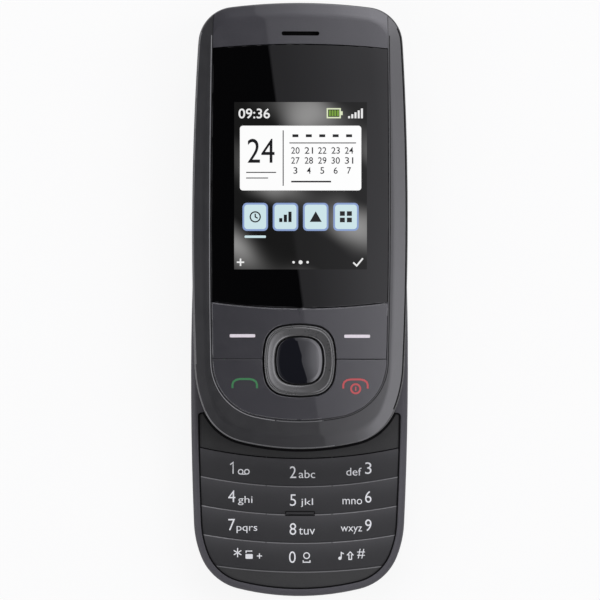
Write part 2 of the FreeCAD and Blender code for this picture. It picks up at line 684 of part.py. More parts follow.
slider_level = base_top + size.slide_gap
slider_floor_top = slider_level + size.slider_floor
shell_level = slider_level + size.slider_cover_height  # where the slider's housings part
slider_top = shell_level + size.slider_shell_height
panel_level = slider_top - size.panel_depth            # floor that the front panel stands on
panel_top = slider_top - size.panel_recess
plate_level = panel_top - size.plate_thickness
shelf_level = panel_level - size.shelf_thickness
window_level = panel_level + size.gasket_thickness

window_head = slider_length / 2 - size.earpiece_length
window_foot = window_head - window_length
key_seam = window_foot - size.soft_key_length
navi_y = window_foot - size.navi_offset
lcd_y = window_foot + window_length / 2 - size.lcd_shift
lcd_level = panel_level - size.fit_gap - size.lcd_thickness
lcd_frame_level = lcd_level + size.lcd_thickness - size.lcd_frame_height
ui_board_level = shelf_level - size.ui_board_drop

bay_y = split_y - size.bay_wall - battery_length / 2 - size.fit_gap
bay_foot = bay_y - battery_length / 2 - size.fit_gap
head_room_y = split_y - size.fit_gap + head_room_length / 2
foot_room_y = foot_y + size.end_wall + size.foot_room_length / 2
rail_y = foot_y + size.rail_foot + rail_length / 2
carriage_centre = (rail_y + rail_length / 2 - size.stop_length - size.fit_gap
                   - size.carriage_length / 2 - slide_travel)
flex_fixed = rail_y - size.flex_shift
flex_moving = carriage_centre - size.flex_rise_shift
carriage_level_top = carriage_level + size.sheet_thickness


def window_top_disc(inset=0.0):
    """A disc whose upper edge is the window's upper edge."""
    radius = size.window_top_bow - as_length(inset)
    return disc(0, window_head - size.window_top_bow, radius * 2)


def window_foot_disc(inset=0.0):
    """A disc whose lower edge is the window's lower edge."""
    radius = size.window_foot_bow - as_length(inset)
    return disc(0, window_foot + size.window_foot_bow, radius * 2)


# ---------------------------------------------------------------- base housings

BASE_SCREWS = [((size.base_width / 2 - size.base_screw_inset) * side,
                (size.base_length / 2 - size.base_screw_end) * end)
               for side in (-1, 1) for end in (-1, 1)]
SLIDER_SCREWS = [((slider_width / 2 - size.slider_screw_inset) * side, y) for side in (-1, 1)
                 for y in (size.slider_screw_foot - slider_length / 2,
                           slider_length / 2 - size.slider_screw_head)]


def cover_interior(gap, top):
    """The straight-sided block of the base that the rear cover slides over."""
    gap = as_length(gap)
    wall = size.cover_wall + gap
    return tray(size.base_width / 2 - size.cover_side_wall - gap, size.base_length / 2 - wall, top,
                (size.foot_corner - wall, size.foot_shoulder - wall), FOOT_TURNS, None)


def make_rear_cover():
    body = piece("rear_cover")
    add(body, 0, size.cover_wall_height, base_outline())
    fillet(body, size.cover_edge_radius, edges_at(0))
    cut(body, 0, size.cover_wall_height, strip(-FAR, FAR, split_y, FAR))
    cut(body, size.cover_thickness, size.cover_wall_height, cover_interior(0, split_y + size.cover_overlap))


def make_base_rear_housing():
    body = piece("base_rear_housing")
    wall_top = size.cover_wall_height + size.fit_gap
    add(body, 0, board_level, base_outline())
    fillet(body, size.cover_edge_radius, edges_at(0))
    cut(body, 0, wall_top, strip(-FAR, FAR, -FAR, split_y + size.fit_gap))
    add(body, battery_level, wall_top - battery_level,
        cover_interior(size.fit_gap, split_y + size.bay_wall))
    cut(body, battery_level, bay_top - battery_level,
        box(0, bay_y, battery_width + size.fit_gap * 2, battery_length + size.fit_gap * 2))
    cut(body, size.foot_room_level, board_level - size.foot_room_level,
        box(0, foot_room_y, foot_room_width, size.foot_room_length, size.foot_room_corner))
    cut(body, size.deck_plate, board_level - size.deck_plate,
        box(0, head_room_y, head_room_width, head_room_length, size.head_room_corner))
    for x, y in BASE_SCREWS:
        cut(body, battery_level, screw_seat - battery_level,
            disc(x, y, size.screw_head_diameter + size.fit_gap * 2))
        cut(body, screw_seat, board_level - screw_seat,
            disc(x, y, size.screw_diameter + size.fit_gap * 2))
    # battery contacts and SIM slot in the wall between the bay and the head room
    cut(body, contact_level, board_level - contact_level,
        box(contact_x, contact_y, size.contact_width + size.fit_gap * 2, size.bay_wall * 2))
    cut(body, sim_level - size.run_gap, size.sim_thickness + size.run_gap * 2,
        strip(sim_x - sim_width / 2 - size.fit_gap, sim_x + sim_width / 2 + size.fit_gap,
              bay_y, head_room_y))
    # camera, loudspeaker grille and sockets
    cut(body, 0, size.camera_seat, disc(camera_x, camera_y, camera_ring_diameter))
    cut(body, size.camera_seat, window_seat - size.camera_seat,
        disc(camera_x, camera_y, size.camera_window_diameter + size.fit_gap * 2))
    cut(body, window_seat, size.camera_shelf,
        disc(camera_x, camera_y, size.camera_light))
    cut(body, 0, size.deck_plate, *grille_slots())
    for side in (-1, 1):
        bore_along_y(body, size.socket_spread / 2 * side, size.socket_axis,
                     size.socket_nose + size.fit_gap * 2, foot_y - 1, foot_y + size.end_wall + 1)
    bore_along_y(body, 0, size.socket_axis, size.microphone_port, foot_y - 1, foot_y + size.end_wall + 1)
    return body


screw_seat = battery_level + size.base_screw_cover
contact_level = battery_level + size.contact_height
sim_x = -head_room_width / 2 + sim_width / 2 + size.sim_inset
sim_level = board_level - size.sim_drop
sim_y = bay_y + battery_length / 2 + size.fit_gap + size.sim_inset + size.sim_length / 2
camera_x = size.base_width / 2 - size.camera_inset
camera_y = head_room_y + size.camera_lift
contact_x, contact_y = camera_x, split_y - size.bay_wall / 2
camera_ring_diameter = size.camera_window_diameter + size.camera_ring_width * 2
window_seat = size.deck_plate - size.camera_shelf
speaker_x, speaker_y = size.loudspeaker_inset - size.base_width / 2, head_room_y


def grille_slots():
    return [box(speaker_x, speaker_y + size.grille_pitch * (n - 2), size.grille_length,
                size.grille_slot, size.grille_slot * SLOT_ROUNDING) for n in range(5)]


def make_base_front_housing():
    body = piece("base_front_housing")
    add(body, board_level, base_top - board_level, base_outline())
    fillet(body, size.base_edge_radius, edges_at(base_top))
    cut(body, board_level, cavity_top - board_level, base_outline(size.base_wall))
    for x, y in BASE_SCREWS:
        add(body, board_level, cavity_top - board_level, disc(x, y, size.screw_boss_diameter))
        cut(body, board_level, board_top - board_level,
            disc(x, y, size.screw_diameter + size.thread_gap * 2))
    cut(body, cavity_top, size.ledge_thickness, recess_outline(size.ledge_width))
    cut(body, web_level, base_top - web_level, recess_outline())
    fillet(body, size.lip_radius, edges_at(base_top, size.base_width / 2 - size.rim_side + 0.01))
    cut(body, deck_level, base_top - deck_level,
        box(0, rail_y, rail_width + size.fit_gap * 2, rail_length + size.fit_gap * 2,
            size.rail_corner + size.fit_gap))
    cut(body, cavity_top, size.deck_floor, flex_slot(flex_fixed))
    return body


def make_housing_screws():
    body = piece("housing_screws")
    shank = [disc(x, y, size.screw_diameter) for x, y in BASE_SCREWS]
    head = [disc(x, y, size.screw_head_diameter) for x, y in BASE_SCREWS]
    add(body, screw_seat, board_top - screw_seat - size.fit_gap, *shank)
    add(body, screw_seat - size.screw_head_height, size.screw_head_height, *head)


# ---------------------------------------------------------------- what the base holds

def make_battery():
    body = piece("battery")
    add(body, battery_level, size.battery_thickness,
        box(0, bay_y, battery_width, battery_length, size.battery_edge))


def make_battery_connector():
    body = piece("battery_connector")
    add(body, contact_level, board_level - contact_level,
        box(contact_x, contact_y, size.contact_width, size.bay_wall))
    for n in (-1, 0, 1):
        cut(body, contact_level, size.contact_slot * 2,
            box(contact_x + size.contact_pitch * n, contact_y - size.bay_wall / 2,
                size.contact_slot, size.bay_wall))


def make_sim():
    holder = piece("sim_holder")
    holder_y = split_y + size.fit_gap * 3 + size.sim_length / 2
    add(holder, board_level - size.sim_holder_height, size.sim_holder_height,
        box(sim_x, holder_y, sim_width + size.sim_side_wall * 2, size.sim_length))
    cut(holder, sim_level - size.run_gap, size.sim_thickness + size.run_gap * 2,
        strip(sim_x - sim_width / 2 - size.fit_gap, sim_x + sim_width / 2 + size.fit_gap,
              -FAR, sim_y + size.sim_length / 2 + size.fit_gap))
    cut(holder, board_level - size.sim_holder_height, size.sim_window_depth,
        box(sim_x, holder_y, size.sim_window_width, size.sim_window_length))
    card = piece("sim_card")
    left, right = sim_x - sim_width / 2, sim_x + sim_width / 2
    low, high = sim_y - size.sim_length / 2, sim_y + size.sim_length / 2
    add(card, sim_level, size.sim_thickness,
        polygon([(left, low), (right, low), (right, high - size.sim_notch),
                 (right - size.sim_notch, high), (left, high)]))


def make_main_board():
    body = piece("main_board")
    add(body, board_level, size.board_thickness,
        box(0, 0, board_width, board_length, size.board_corner))
    can = piece("shield_can")
    lid = board_level - size.shield_height
    x = foot_room_width / 2 - size.shield_inset
    y = foot_room_y + size.shield_shift
    add(can, lid, size.shield_height,
        box(x, y, size.shield_width, size.shield_length, size.shield_corner))
    cut(can, lid + size.shield_wall, size.shield_height,
        box(x, y, size.shield_width - size.shield_wall * 2,
            size.shield_length - size.shield_wall * 2))


def make_antenna():
    body = piece("antenna")
    y = foot_room_y - size.antenna_shift
    shift = size.antenna_slit_shift
    width = foot_room_width - size.antenna_inset * 2
    slit = width - size.antenna_slit_inset * 2
    add(body, size.foot_room_level, size.antenna_thickness,
        box(0, y, width, size.antenna_length))
    cut(body, size.foot_room_level, size.antenna_thickness,
        box(shift, y, slit, size.antenna_slit), box(-shift, y - shift, slit, size.antenna_slit))


def make_socket(name, side, bore, pin=None):
    """A round socket in the foot's end wall, open towards -Y."""
    body = piece(name)
    x = size.socket_spread / 2 * side
    wall_inside = foot_y + size.end_wall
    height = (board_level - size.socket_axis - size.run_gap) * 2
    nose = foot_y + size.socket_nose_inset
    add(body, size.socket_axis - height / 2, height,
        strip(x - size.socket_body_width / 2, x + size.socket_body_width / 2,
              wall_inside, wall_inside + size.socket_body_length))
    rod_along(body, "XZ_Plane", -(wall_inside + size.socket_back),
              size.end_wall + size.socket_back - size.socket_nose_inset,
              disc(x, size.socket_axis, size.socket_nose))
    inner = wall_inside + size.socket_body_length - size.socket_back
    if pin is None:
        bore_along_y(body, x, size.socket_axis, bore, nose, inner)
    else:
        # The plug's barrel seats in the front part; the centre pin stands behind it.
        seat = nose + size.charger_seat
        bore_along_y(body, x, size.socket_axis, bore, nose, seat)
        bore_along_y(body, x, size.socket_axis, bore - size.charger_step, seat, inner)
        rod_along(body, "XZ_Plane", -(inner + size.charger_pin_setback), inner - seat,
                  disc(x, size.socket_axis, pin))


def make_microphone():
    body = piece("microphone")
    wall_inside = foot_y + size.end_wall
    add(body, size.socket_axis - size.microphone_size / 2, size.microphone_size,
        strip(-size.microphone_width / 2, size.microphone_width / 2,
              wall_inside + size.run_gap, wall_inside + size.microphone_length))
    bore_along_y(body, 0, size.socket_axis, size.microphone_hole,
                 wall_inside, wall_inside + size.microphone_hole_depth)


motor_y = foot_room_y + size.foot_room_length / 2 - size.motor_diameter / 2 - size.motor_head_gap
motor_axis = size.foot_room_level + size.motor_diameter / 2
motor_x = -foot_room_width / 2 + size.motor_side_gap


def make_vibration_motor():
    motor = piece("vibration_motor")
    rod_along(motor, "YZ_Plane", motor_x, size.motor_length,
              disc(motor_y, motor_axis, size.motor_diameter))
    hole = motor.newObject("PartDesign::Pocket", "motor_bore")
    end = motor_x + size.motor_length
    hole.Profile = draw(motor, end, [disc(motor_y, motor_axis, size.motor_shaft + size.run_gap * 2)],
                        "YZ_Plane")
    bind(hole, "Length", size.motor_length / 2)
    motor.Tip = hole
    weight = piece("vibrator_weight")
    rod_along(weight, "YZ_Plane", end - size.motor_length / 2 + size.fit_gap,
              size.motor_length / 2 + size.weight_length, disc(motor_y, motor_axis, size.motor_shaft))
    rod_along(weight, "YZ_Plane", end + size.fit_gap * 2, size.weight_length,
              disc(motor_y, motor_axis, size.weight_radius * 2))
    before = weight.Shape.Volume
    half = weight.newObject("PartDesign::Pocket", "weight_half")
    upper = strip(motor_y - size.weight_radius * 2, motor_y + size.weight_radius * 2,
                  motor_axis + size.motor_shaft / 2 + size.run_gap, motor_axis + size.weight_radius * 2)
    half.Profile = draw(weight, end + size.fit_gap * 2, [upper], "YZ_Plane")
    half.Reversed = True
    bind(half, "Length", size.weight_length * 2)
    weight.Tip = half
    doc.recompute()
    if not weight.Shape.Volume < before:
        raise RuntimeError("the weight is a whole disc")


def make_loudspeaker():
    mesh = piece("speaker_mesh")
    add(mesh, size.deck_plate, size.mesh_thickness,
        box(speaker_x, speaker_y, size.speaker_mesh_width, size.speaker_mesh_length))
    body = piece("loudspeaker")
    add(body, size.deck_plate + size.mesh_thickness, size.loudspeaker_height,
        box(speaker_x, speaker_y, size.loudspeaker_width, size.loudspeaker_length,
            size.loudspeaker_corner))
    rim = size.loudspeaker_rim
    cut(body, size.deck_plate + size.mesh_thickness, size.loudspeaker_front,
        box(speaker_x, speaker_y, size.loudspeaker_width - rim * 2, size.loudspeaker_length - rim * 2,
            size.loudspeaker_corner - rim / 2))


def make_camera():
    x, y = camera_x, camera_y
    ring = piece("camera_ring")
    add(ring, 0, size.camera_seat, disc(x, y, camera_ring_diameter - size.run_gap * 2))
    cut(ring, 0, size.camera_seat, disc(x, y, size.camera_window_diameter + size.fit_gap * 2))
    window = piece("camera_window")
    add(window, window_seat - size.camera_window_thickness, size.camera_window_thickness,
        disc(x, y, size.camera_window_diameter))
    module = piece("camera_module")
    add(module, size.deck_plate, board_level - size.deck_plate, box(x, y, size.camera_body, size.camera_body))
    cut(module, size.deck_plate, size.camera_eye_depth, disc(x, y, size.camera_eye))


# ---------------------------------------------------------------- keypad

def column_x(column):
    return column_width * (column - 1)


def key_y(row, column):
    """Middle of a key: the rows are bowed about one centre."""
    radius = bow_centre - (row_edges[row] + row_edges[row + 1]) / 2
    side = column_x(column)
    drop = float(radius) - math.sqrt(float(radius) ** 2 - float(side) ** 2)
    return bow_centre - radius + drop


def row_band(gap):
    """The ring between the keypad's upper and lower row edges, wider by gap each way."""
    inner = bow_centre - row_edges[0] - as_length(gap)
    outer = bow_centre - row_edges[4] + as_length(gap)
    return [disc(0, bow_centre, outer * 2), disc(0, bow_centre, inner * 2)]


def key_plan():
    return [(row, column) for row in range(4) for column in range(3)]


def make_dome_sheet():
    body = piece("keypad_dome_sheet")
    add(body, board_top, size.film_thickness,
        strip(size.film_margin - board_width / 2, board_width / 2 - size.film_margin,
              row_edges[4] + size.film_margin, row_edges[0] + size.film_margin))
    add(body, board_top, size.film_thickness + size.dome_height,
        *[disc(column_x(c), key_y(r, c), size.dome_diameter) for r, c in key_plan()])


def make_keypad_panel():
    body = piece("keypad_panel")
    add(body, web_level, size.trim_thickness + size.web_thickness, recess_outline(size.fit_gap))
    cut(body, web_level + size.web_thickness, size.trim_thickness, *row_band(size.seam_gap / 2))
    cut(body, web_level, size.web_thickness,
        *[disc(column_x(c), key_y(r, c), size.plunger_diameter + size.key_gap * 2)
          for r, c in key_plan()])


def row_profile(low, high, floor, top):
    """A row seen from the side: its upper edge stands proud and its face falls to the lower edge."""
    def figure(drawing):
        r, drop = float(size.key_edge_radius), float(size.key_slope)
        y1, y2, z0, z1 = float(low), float(high), float(floor), float(top)
        run = y2 - r - y1
        face_radius = (run * run + drop * drop) / (2 * drop)
        corner = Part.ArcOfCircle(Part.Circle(spot(y2 - r, z1 - r), Vector(0, 0, 1), r), 0, math.pi / 2)
        face = Part.ArcOfCircle(Part.Circle(spot(y2 - r, z1 - face_radius), Vector(0, 0, 1), face_radius),
                                math.pi / 2, math.pi / 2 + math.asin(run / face_radius))
        lines = [Part.LineSegment(spot(y1, z0), spot(y2, z0)),
                 Part.LineSegment(spot(y2, z0), spot(y2, z1 - r))]
        back = Part.LineSegment(spot(y1, z1 - drop), spot(y1, z0))
        bottom, front, corner, face, back = drawing.curves(lines + [corner, face, back])
        drawing.tie("Coincident", bottom, 2, front, 1)
        drawing.tie("Tangent", front, 2, corner, 1)
        drawing.tie("Tangent", corner, 2, face, 1)
        drawing.tie("Coincident", face, 2, back, 1)
        drawing.tie("Coincident", back, 2, bottom, 1)
        drawing.tie("Horizontal", bottom)
        drawing.tie("Vertical", front)
        drawing.tie("Vertical", back)
        drawing.tie("Vertical", corner, 3, corner, 2)
        drawing.place(bottom, 1, low, floor)
        drawing.dimension("DistanceX", -1, 1, bottom, 2, length=high)
        drawing.dimension("Radius", corner, length=size.key_edge_radius)
        drawing.dimension("DistanceY", -1, 1, corner, 2, length=top)
        drawing.dimension("DistanceY", -1, 1, face, 2, length=top - size.key_slope)
        axis, = drawing.curves([Part.LineSegment(spot(bow_centre, 0), spot(bow_centre, top))], True)
        drawing.place(axis, 1, bow_centre, 0)
        drawing.place(axis, 2, bow_centre, top)
    return figure


KEY_NAMES = ("1", "2", "3", "4", "5", "6", "7", "8", "9", "star", "0", "hash")


def make_key(name, row, column):
    body = piece(f"key_{name}")
    gap = size.seam_gap / 2
    profile = row_profile(row_edges[row + 1] + gap, row_edges[row] - gap, key_level,
                          key_level + size.key_thickness)
    turned = body.newObject("PartDesign::Revolution", body.Name + "_row")
    turned.Profile = draw(body, 0, [profile], "YZ_Plane")
    turned.ReferenceAxis = (turned.Profile[0], ["Axis0"])
    turned.Midplane = True
    turned.Angle = ROW_TURN
    body.Tip = turned
    doc.recompute()
    half = column_width / 2
    height = size.key_thickness * 2
    if column == 1:
        cut(body, key_level, height, strip(half - gap, FAR, -FAR, FAR), strip(-FAR, gap - half, -FAR, FAR))
    elif column == 0:
        cut(body, key_level, height, strip(-half - gap, FAR, -FAR, FAR))
    else:
        cut(body, key_level, height, strip(-FAR, half + gap, -FAR, FAR))
    if column != 1:
        keep(body, key_level, height, recess_outline(size.fit_gap + size.key_gap / 2))
    add(body, key_level - size.plunger_length, size.plunger_length + size.key_thickness / 2,
        disc(column_x(column), key_y(row, column), size.plunger_diameter))
    if name == "5":
        add(body, key_level, size.key_thickness + size.marker_height,
            box(0, row_edges[row + 1] + size.seam_gap + size.marker_width / 2, size.marker_length,
                size.marker_width, size.marker_corner))


# ---------------------------------------------------------------- slide rail

spring_x, spring_fixed_y = rail_width / 2 - size.rivet_inset, rail_y - size.stop_length


def flex_slot(y):
    return box(0, y, size.flex_width + size.fit_gap * 4, size.flex_slot_length,
               size.flex_slot_length * SLOT_ROUNDING)


def make_slide_rail_plate():
    body = piece("slide_rail_plate")
    height = flange_level + size.sheet_thickness - deck_level
    inner = rail_width - size.sheet_thickness * 2
    add(body, deck_level, height, box(0, rail_y, rail_width, rail_length, size.rail_corner))
    cut(body, sandwich_level, height, box(0, rail_y, rail_width - size.flange_width * 2, FAR))
    cut(body, sandwich_level, flange_level - sandwich_level, box(0, rail_y, inner, FAR))
    cut(body, deck_level, size.sheet_thickness, flex_slot(flex_fixed),
        box(0, rail_y - size.rail_window_offset, size.rail_window_width, size.rail_window_foot,
            size.rail_window_corner),
        box(0, rail_y + size.rail_window_offset, size.rail_window_width, size.rail_window_head,
            size.rail_window_corner))
    for side in (-1, 1):
        add(body, sandwich_level, size.spring_wire - size.run_gap,
            disc(spring_x * side, spring_fixed_y, size.rivet_diameter))
    stops = piece("slide_stops")
    low, high = rail_y - rail_length / 2, rail_y + rail_length / 2
    for y in (low + size.stop_length / 2, high - size.stop_length / 2):
        add(stops, sandwich_level, carriage_level_top - sandwich_level,
            *[box((rail_width / 2 - size.stop_inset) * side, y, size.stop_width, size.stop_length)
              for side in (-1, 1)])


def make_slide_carriage():
    body = piece("slide_carriage", in_slider=True)
    add(body, carriage_level, size.sheet_thickness,
        box(0, carriage_centre, carriage_width, size.carriage_length))
    cut(body, carriage_level, size.sheet_thickness, flex_slot(flex_moving))
    for side in (-1, 1):
        add(body, carriage_level - size.spring_wire, size.spring_wire,
            disc(size.spring_moving_x * side, carriage_centre, size.rivet_diameter))
    guides = piece("slide_guides", in_slider=True)
    edge = carriage_width / 2
    reach = (size.carriage_length - size.guide_length) / 2
    level = sandwich_level + size.guide_gap
    height = flange_level - size.guide_gap - level
    spots = [(side, carriage_centre + reach * end) for side in (-1, 1) for end in (-1, 1)]
    add(guides, level, height,
        *[box((edge + size.guide_reach) * side, y, size.guide_width, size.guide_length)
          for side, y in spots])
    cut(guides, carriage_level, size.sheet_thickness,
        box(0, carriage_centre, carriage_width, FAR))


def make_toggle_springs():
    """One zigzag of wire each side, with an eye over a rivet of the rail and one of the carriage."""
    body = piece("toggle_springs", in_slider=True)
    level = sandwich_level + size.run_gap
    thickness = size.spring_wire - size.run_gap
    eyes = []
    for side in (-1, 1):
        x, y = spring_x * side, spring_fixed_y - slide_travel
        moving_x, moving_y = size.spring_moving_x * side, carriage_centre
        inner, outer = size.spring_inner * side, size.spring_outer * side
        turns = [y + size.spring_step * n for n in (1, 2, 3)]
        grip = size.spring_eye / 2 - size.fit_gap
        path = [(x, y + grip), (x, turns[0]), (inner, turns[0]), (inner, turns[1]),
                (outer, turns[1]), (outer, turns[2]), (moving_x, turns[2]), (moving_x, moving_y - grip)]
        add(body, level, thickness, ribbon(path, size.spring_wire))
        eyes += [(x, y), (moving_x, moving_y)]
    add(body, level, thickness, *[disc(x, y, size.spring_eye) for x, y in eyes])
    cut(body, level, thickness, *[disc(x, y, size.rivet_diameter + size.run_gap * 2) for x, y in eyes])


def make_flex_cable():
    """A flat flexible circuit: up from the board, a fold between the plates, up into the slider."""
    body = piece("flex_cable", in_slider=True)
    fixed = flex_fixed - slide_travel
    fold = fixed - size.flex_loop
    lower = sandwich_level + size.flex_thickness / 2 + size.thread_gap
    upper = carriage_level - size.flex_thickness / 2 - size.thread_gap
    path = [(fixed, board_top), (fixed, lower), (fold, lower), (fold, upper),
            (flex_moving, upper), (flex_moving, ui_board_level - size.flex_rise)]
    pad = body.newObject("PartDesign::Pad", "flex_pad")
    pad.Profile = draw(body, 0, [ribbon(path, size.flex_thickness)], "YZ_Plane")
    pad.Midplane = True
    bind(pad, "Length", size.flex_width)
    body.Tip = pad
    doc.recompute()


# ---------------------------------------------------------------- slider housings

def make_slider_rear_cover():
    body = piece("slider_rear_cover", in_slider=True)
    add(body, slider_level, size.slider_cover_height, slider_outline())
    fillet(body, size.slider_back_radius, edges_at(slider_level))
    cut(body, slider_floor_top, size.slider_cover_height, slider_outline(size.slider_wall))
    add(body, carriage_level_top, slider_level - carriage_level_top,
        box(0, carriage_centre, carriage_width - size.plinth_inset * 2,
            size.carriage_length - size.plinth_end_inset * 2, size.plinth_corner))
    cut(body, carriage_level_top, slider_floor_top - carriage_level_top, flex_slot(flex_moving))
    for x, y in SLIDER_SCREWS:
        cut(body, slider_level, size.screw_head_height,
            disc(x, y, size.screw_head_diameter + size.fit_gap * 2))
        cut(body, slider_level, size.slider_floor, disc(x, y, size.screw_diameter + size.fit_gap * 2))
    for x, y in UI_POSTS:
        add(body, slider_floor_top, ui_board_level - slider_floor_top, disc(x, y, size.post_diameter))
    for x, y in LCD_POSTS:
        add(body, slider_floor_top, lcd_frame_level - slider_floor_top, disc(x, y, size.post_diameter))
    add(body, slider_floor_top, speaker_level - slider_floor_top,
        box(0, earpiece_y, size.speaker_width / 2, size.speaker_length / 2, size.speaker_corner / 2))


earpiece_y = slider_length / 2 - size.earpiece_depth
speaker_level = panel_level - size.mesh_thickness - size.speaker_thickness
ui_board_y = navi_y + size.ui_board_lift
UI_POSTS = [((ui_board_width / 2 - size.ui_post_inset) * side,
             ui_board_y + size.ui_post_spread / 2 * end)
            for side in (-1, 1) for end in (-1, 1)]
LCD_POSTS = [((lcd_width / 2 - size.lcd_post_inset_x) * side,
              lcd_y + (lcd_length / 2 - size.lcd_post_inset_y) * end)
             for side in (-1, 1) for end in (-1, 1)]


def sloped_edge(body):
    """The slider's front edge: a shallow slope all round, eased into the flat, and a tight rim."""
    chamfer = dress(body, "Chamfer", edges_at(slider_top), Size=size.rail_slope_width,
                    Size2=size.rail_slope_drop)
    chamfer.ChamferType = "Two distances"
    doc.recompute()
    flat = max(body.Shape.Faces, key=lambda face: (round(face.CenterOfMass.z, 4), face.Area))
    wide = flat.BoundBox.XLength < float(slider_width - size.rail_slope_width)
    chamfer.FlipDirection = not wide
    doc.recompute()
    fillet(body, size.rail_edge_radius, edges_at(slider_top - size.rail_slope_drop))
    fillet(body, size.crease_radius, edges_at(slider_top))


def make_slider_frame():
    body = piece("slider_frame", in_slider=True)
    add(body, shell_level, size.slider_shell_height, slider_outline())
    sloped_edge(body)
    cut(body, shell_level, shelf_level - shell_level, slider_outline(size.slider_wall))
    cut(body, shelf_level, size.shelf_thickness,
        panel_outline(size.shelf_width, slider_length / 2 - size.shelf_head_wall))
    cut(body, panel_level, size.panel_depth * 2, panel_outline())
    for x, y in SLIDER_SCREWS:
        add(body, shell_level - size.slider_cover_height + size.slider_floor,
            shelf_level - slider_floor_top, disc(x, y, size.screw_boss_diameter))
        cut(body, slider_floor_top, size.slider_screw_depth,
            disc(x, y, size.screw_diameter + size.thread_gap * 2))


def make_slider_screws():
    body = piece("slider_screws", in_slider=True)
    level = slider_level + size.run_gap
    add(body, level, slider_floor_top - level + size.slider_screw_depth - size.fit_gap,
        *[disc(x, y, size.screw_diameter) for x, y in SLIDER_SCREWS])
    add(body, level, size.screw_head_height - size.run_gap,
        *[disc(x, y, size.screw_head_diameter) for x, y in SLIDER_SCREWS])


# ---------------------------------------------------------------- front panel

def make_earpiece():
    panel = piece("earpiece_panel", in_slider=True)
    add(panel, panel_level, size.panel_depth, slider_outline())
    sloped_edge(panel)
    keep(panel, panel_level, size.panel_depth, panel_outline(size.fit_gap))
    cut(panel, panel_level, size.panel_depth, window_top_disc(-size.fit_gap))
    cut(panel, panel_level, size.panel_depth,
        box(0, earpiece_y, size.earpiece_slot_length, size.earpiece_slot_width,
            size.earpiece_slot_width * SLOT_ROUNDING))
    mesh = piece("earpiece_mesh", in_slider=True)
    add(mesh, panel_level - size.mesh_thickness, size.mesh_thickness,
        box(0, earpiece_y, size.earpiece_slot_length + size.mesh_margin * 2,
            size.earpiece_slot_width + size.mesh_margin * 2))
    speaker = piece("earpiece_speaker", in_slider=True)
    add(speaker, speaker_level, size.speaker_thickness - size.run_gap,
        box(0, earpiece_y, size.speaker_width, size.speaker_length, size.speaker_corner))


def make_display():
    window = piece("display_window", in_slider=True)
    add(window, window_level, panel_top - window_level, panel_outline(size.fit_gap))
    keep(window, window_level, size.panel_depth, window_top_disc())
    keep(window, window_level, size.panel_depth, window_foot_disc())
    fillet(window, size.plate_edge_radius, edges_at(panel_top))
    gasket = piece("window_gasket", in_slider=True)
    inner = size.gasket_margin * 2
    outer = inner + size.gasket_width * 2
    add(gasket, panel_level, size.gasket_thickness,
        box(0, lcd_y, screen_width + outer, screen_length + outer))
    cut(gasket, panel_level, size.gasket_thickness,
        box(0, lcd_y, screen_width + inner, screen_length + inner))
    panel = piece("lcd_panel", in_slider=True)
    add(panel, lcd_level, size.lcd_thickness, box(0, lcd_y, lcd_width, lcd_length))
    frame = piece("lcd_frame", in_slider=True)
    outer = size.lcd_frame_wall * 2 + size.fit_gap * 2
    add(frame, lcd_frame_level, size.lcd_frame_height,
        box(0, lcd_y, lcd_width + outer, lcd_length + outer))
    cut(frame, lcd_level, size.lcd_thickness,
        box(0, lcd_y, lcd_width + size.fit_gap * 2, lcd_length + size.fit_gap * 2))


def make_front_keys():
    board = piece("ui_board", in_slider=True)
    add(board, ui_board_level, size.ui_board_thickness,
        box(0, ui_board_y, ui_board_width, size.ui_board_length, size.ui_board_corner))
    domes = piece("slider_dome_sheet", in_slider=True)
    add(domes, ui_board_top, size.film_thickness,
        box(0, ui_board_y, ui_board_width - size.film_margin * 2,
            size.ui_board_length - size.film_margin * 2, size.ui_board_corner - size.film_margin))
    add(domes, ui_board_top, size.film_thickness + size.dome_height,
        *[disc(x, y, size.dome_diameter) for x, y in FRONT_KEYS.values()],
        *[disc(x, y, size.navi_dome_diameter) for x, y in NAVI_PUSHES + [(0, navi_y)]])
    gap = size.seam_gap / 2
    for name, (x, y) in FRONT_KEYS.items():
        body = piece(name, in_slider=True)
        add(body, plate_level, size.plate_thickness, panel_outline(size.fit_gap))
        cut(body, plate_level, size.plate_thickness, window_foot_disc(-size.fit_gap * 1.5))
        if float(x) < 0:
            cut(body, plate_level, size.plate_thickness, strip(-gap, FAR, -FAR, FAR))
        else:
            cut(body, plate_level, size.plate_thickness, strip(-FAR, gap, -FAR, FAR))
        if float(y) > float(key_seam):
            cut(body, plate_level, size.plate_thickness, strip(-FAR, FAR, -FAR, key_seam + size.fit_gap / 2))
        else:
            cut(body, plate_level, size.plate_thickness, strip(-FAR, FAR, key_seam - size.fit_gap / 2, FAR))
        cut(body, plate_level, size.plate_thickness,
            squircle(0, navi_y, size.ring_size + size.ring_gap * 2, size.ring_corner + size.ring_gap))
        fillet(body, size.plate_edge_radius, away_from_middle)
        add(body, plunger_level, plate_level - plunger_level + size.plate_thickness / 2,
            disc(x, y, size.plunger_diameter))


def away_from_middle(edge):
    """Edges round the top of a front key, but for the seam on the Y axis."""
    bounds = edge.BoundBox
    seam = max(abs(bounds.XMin), abs(bounds.XMax)) < float(size.seam_gap)
    return edges_at(panel_top)(edge) and not seam


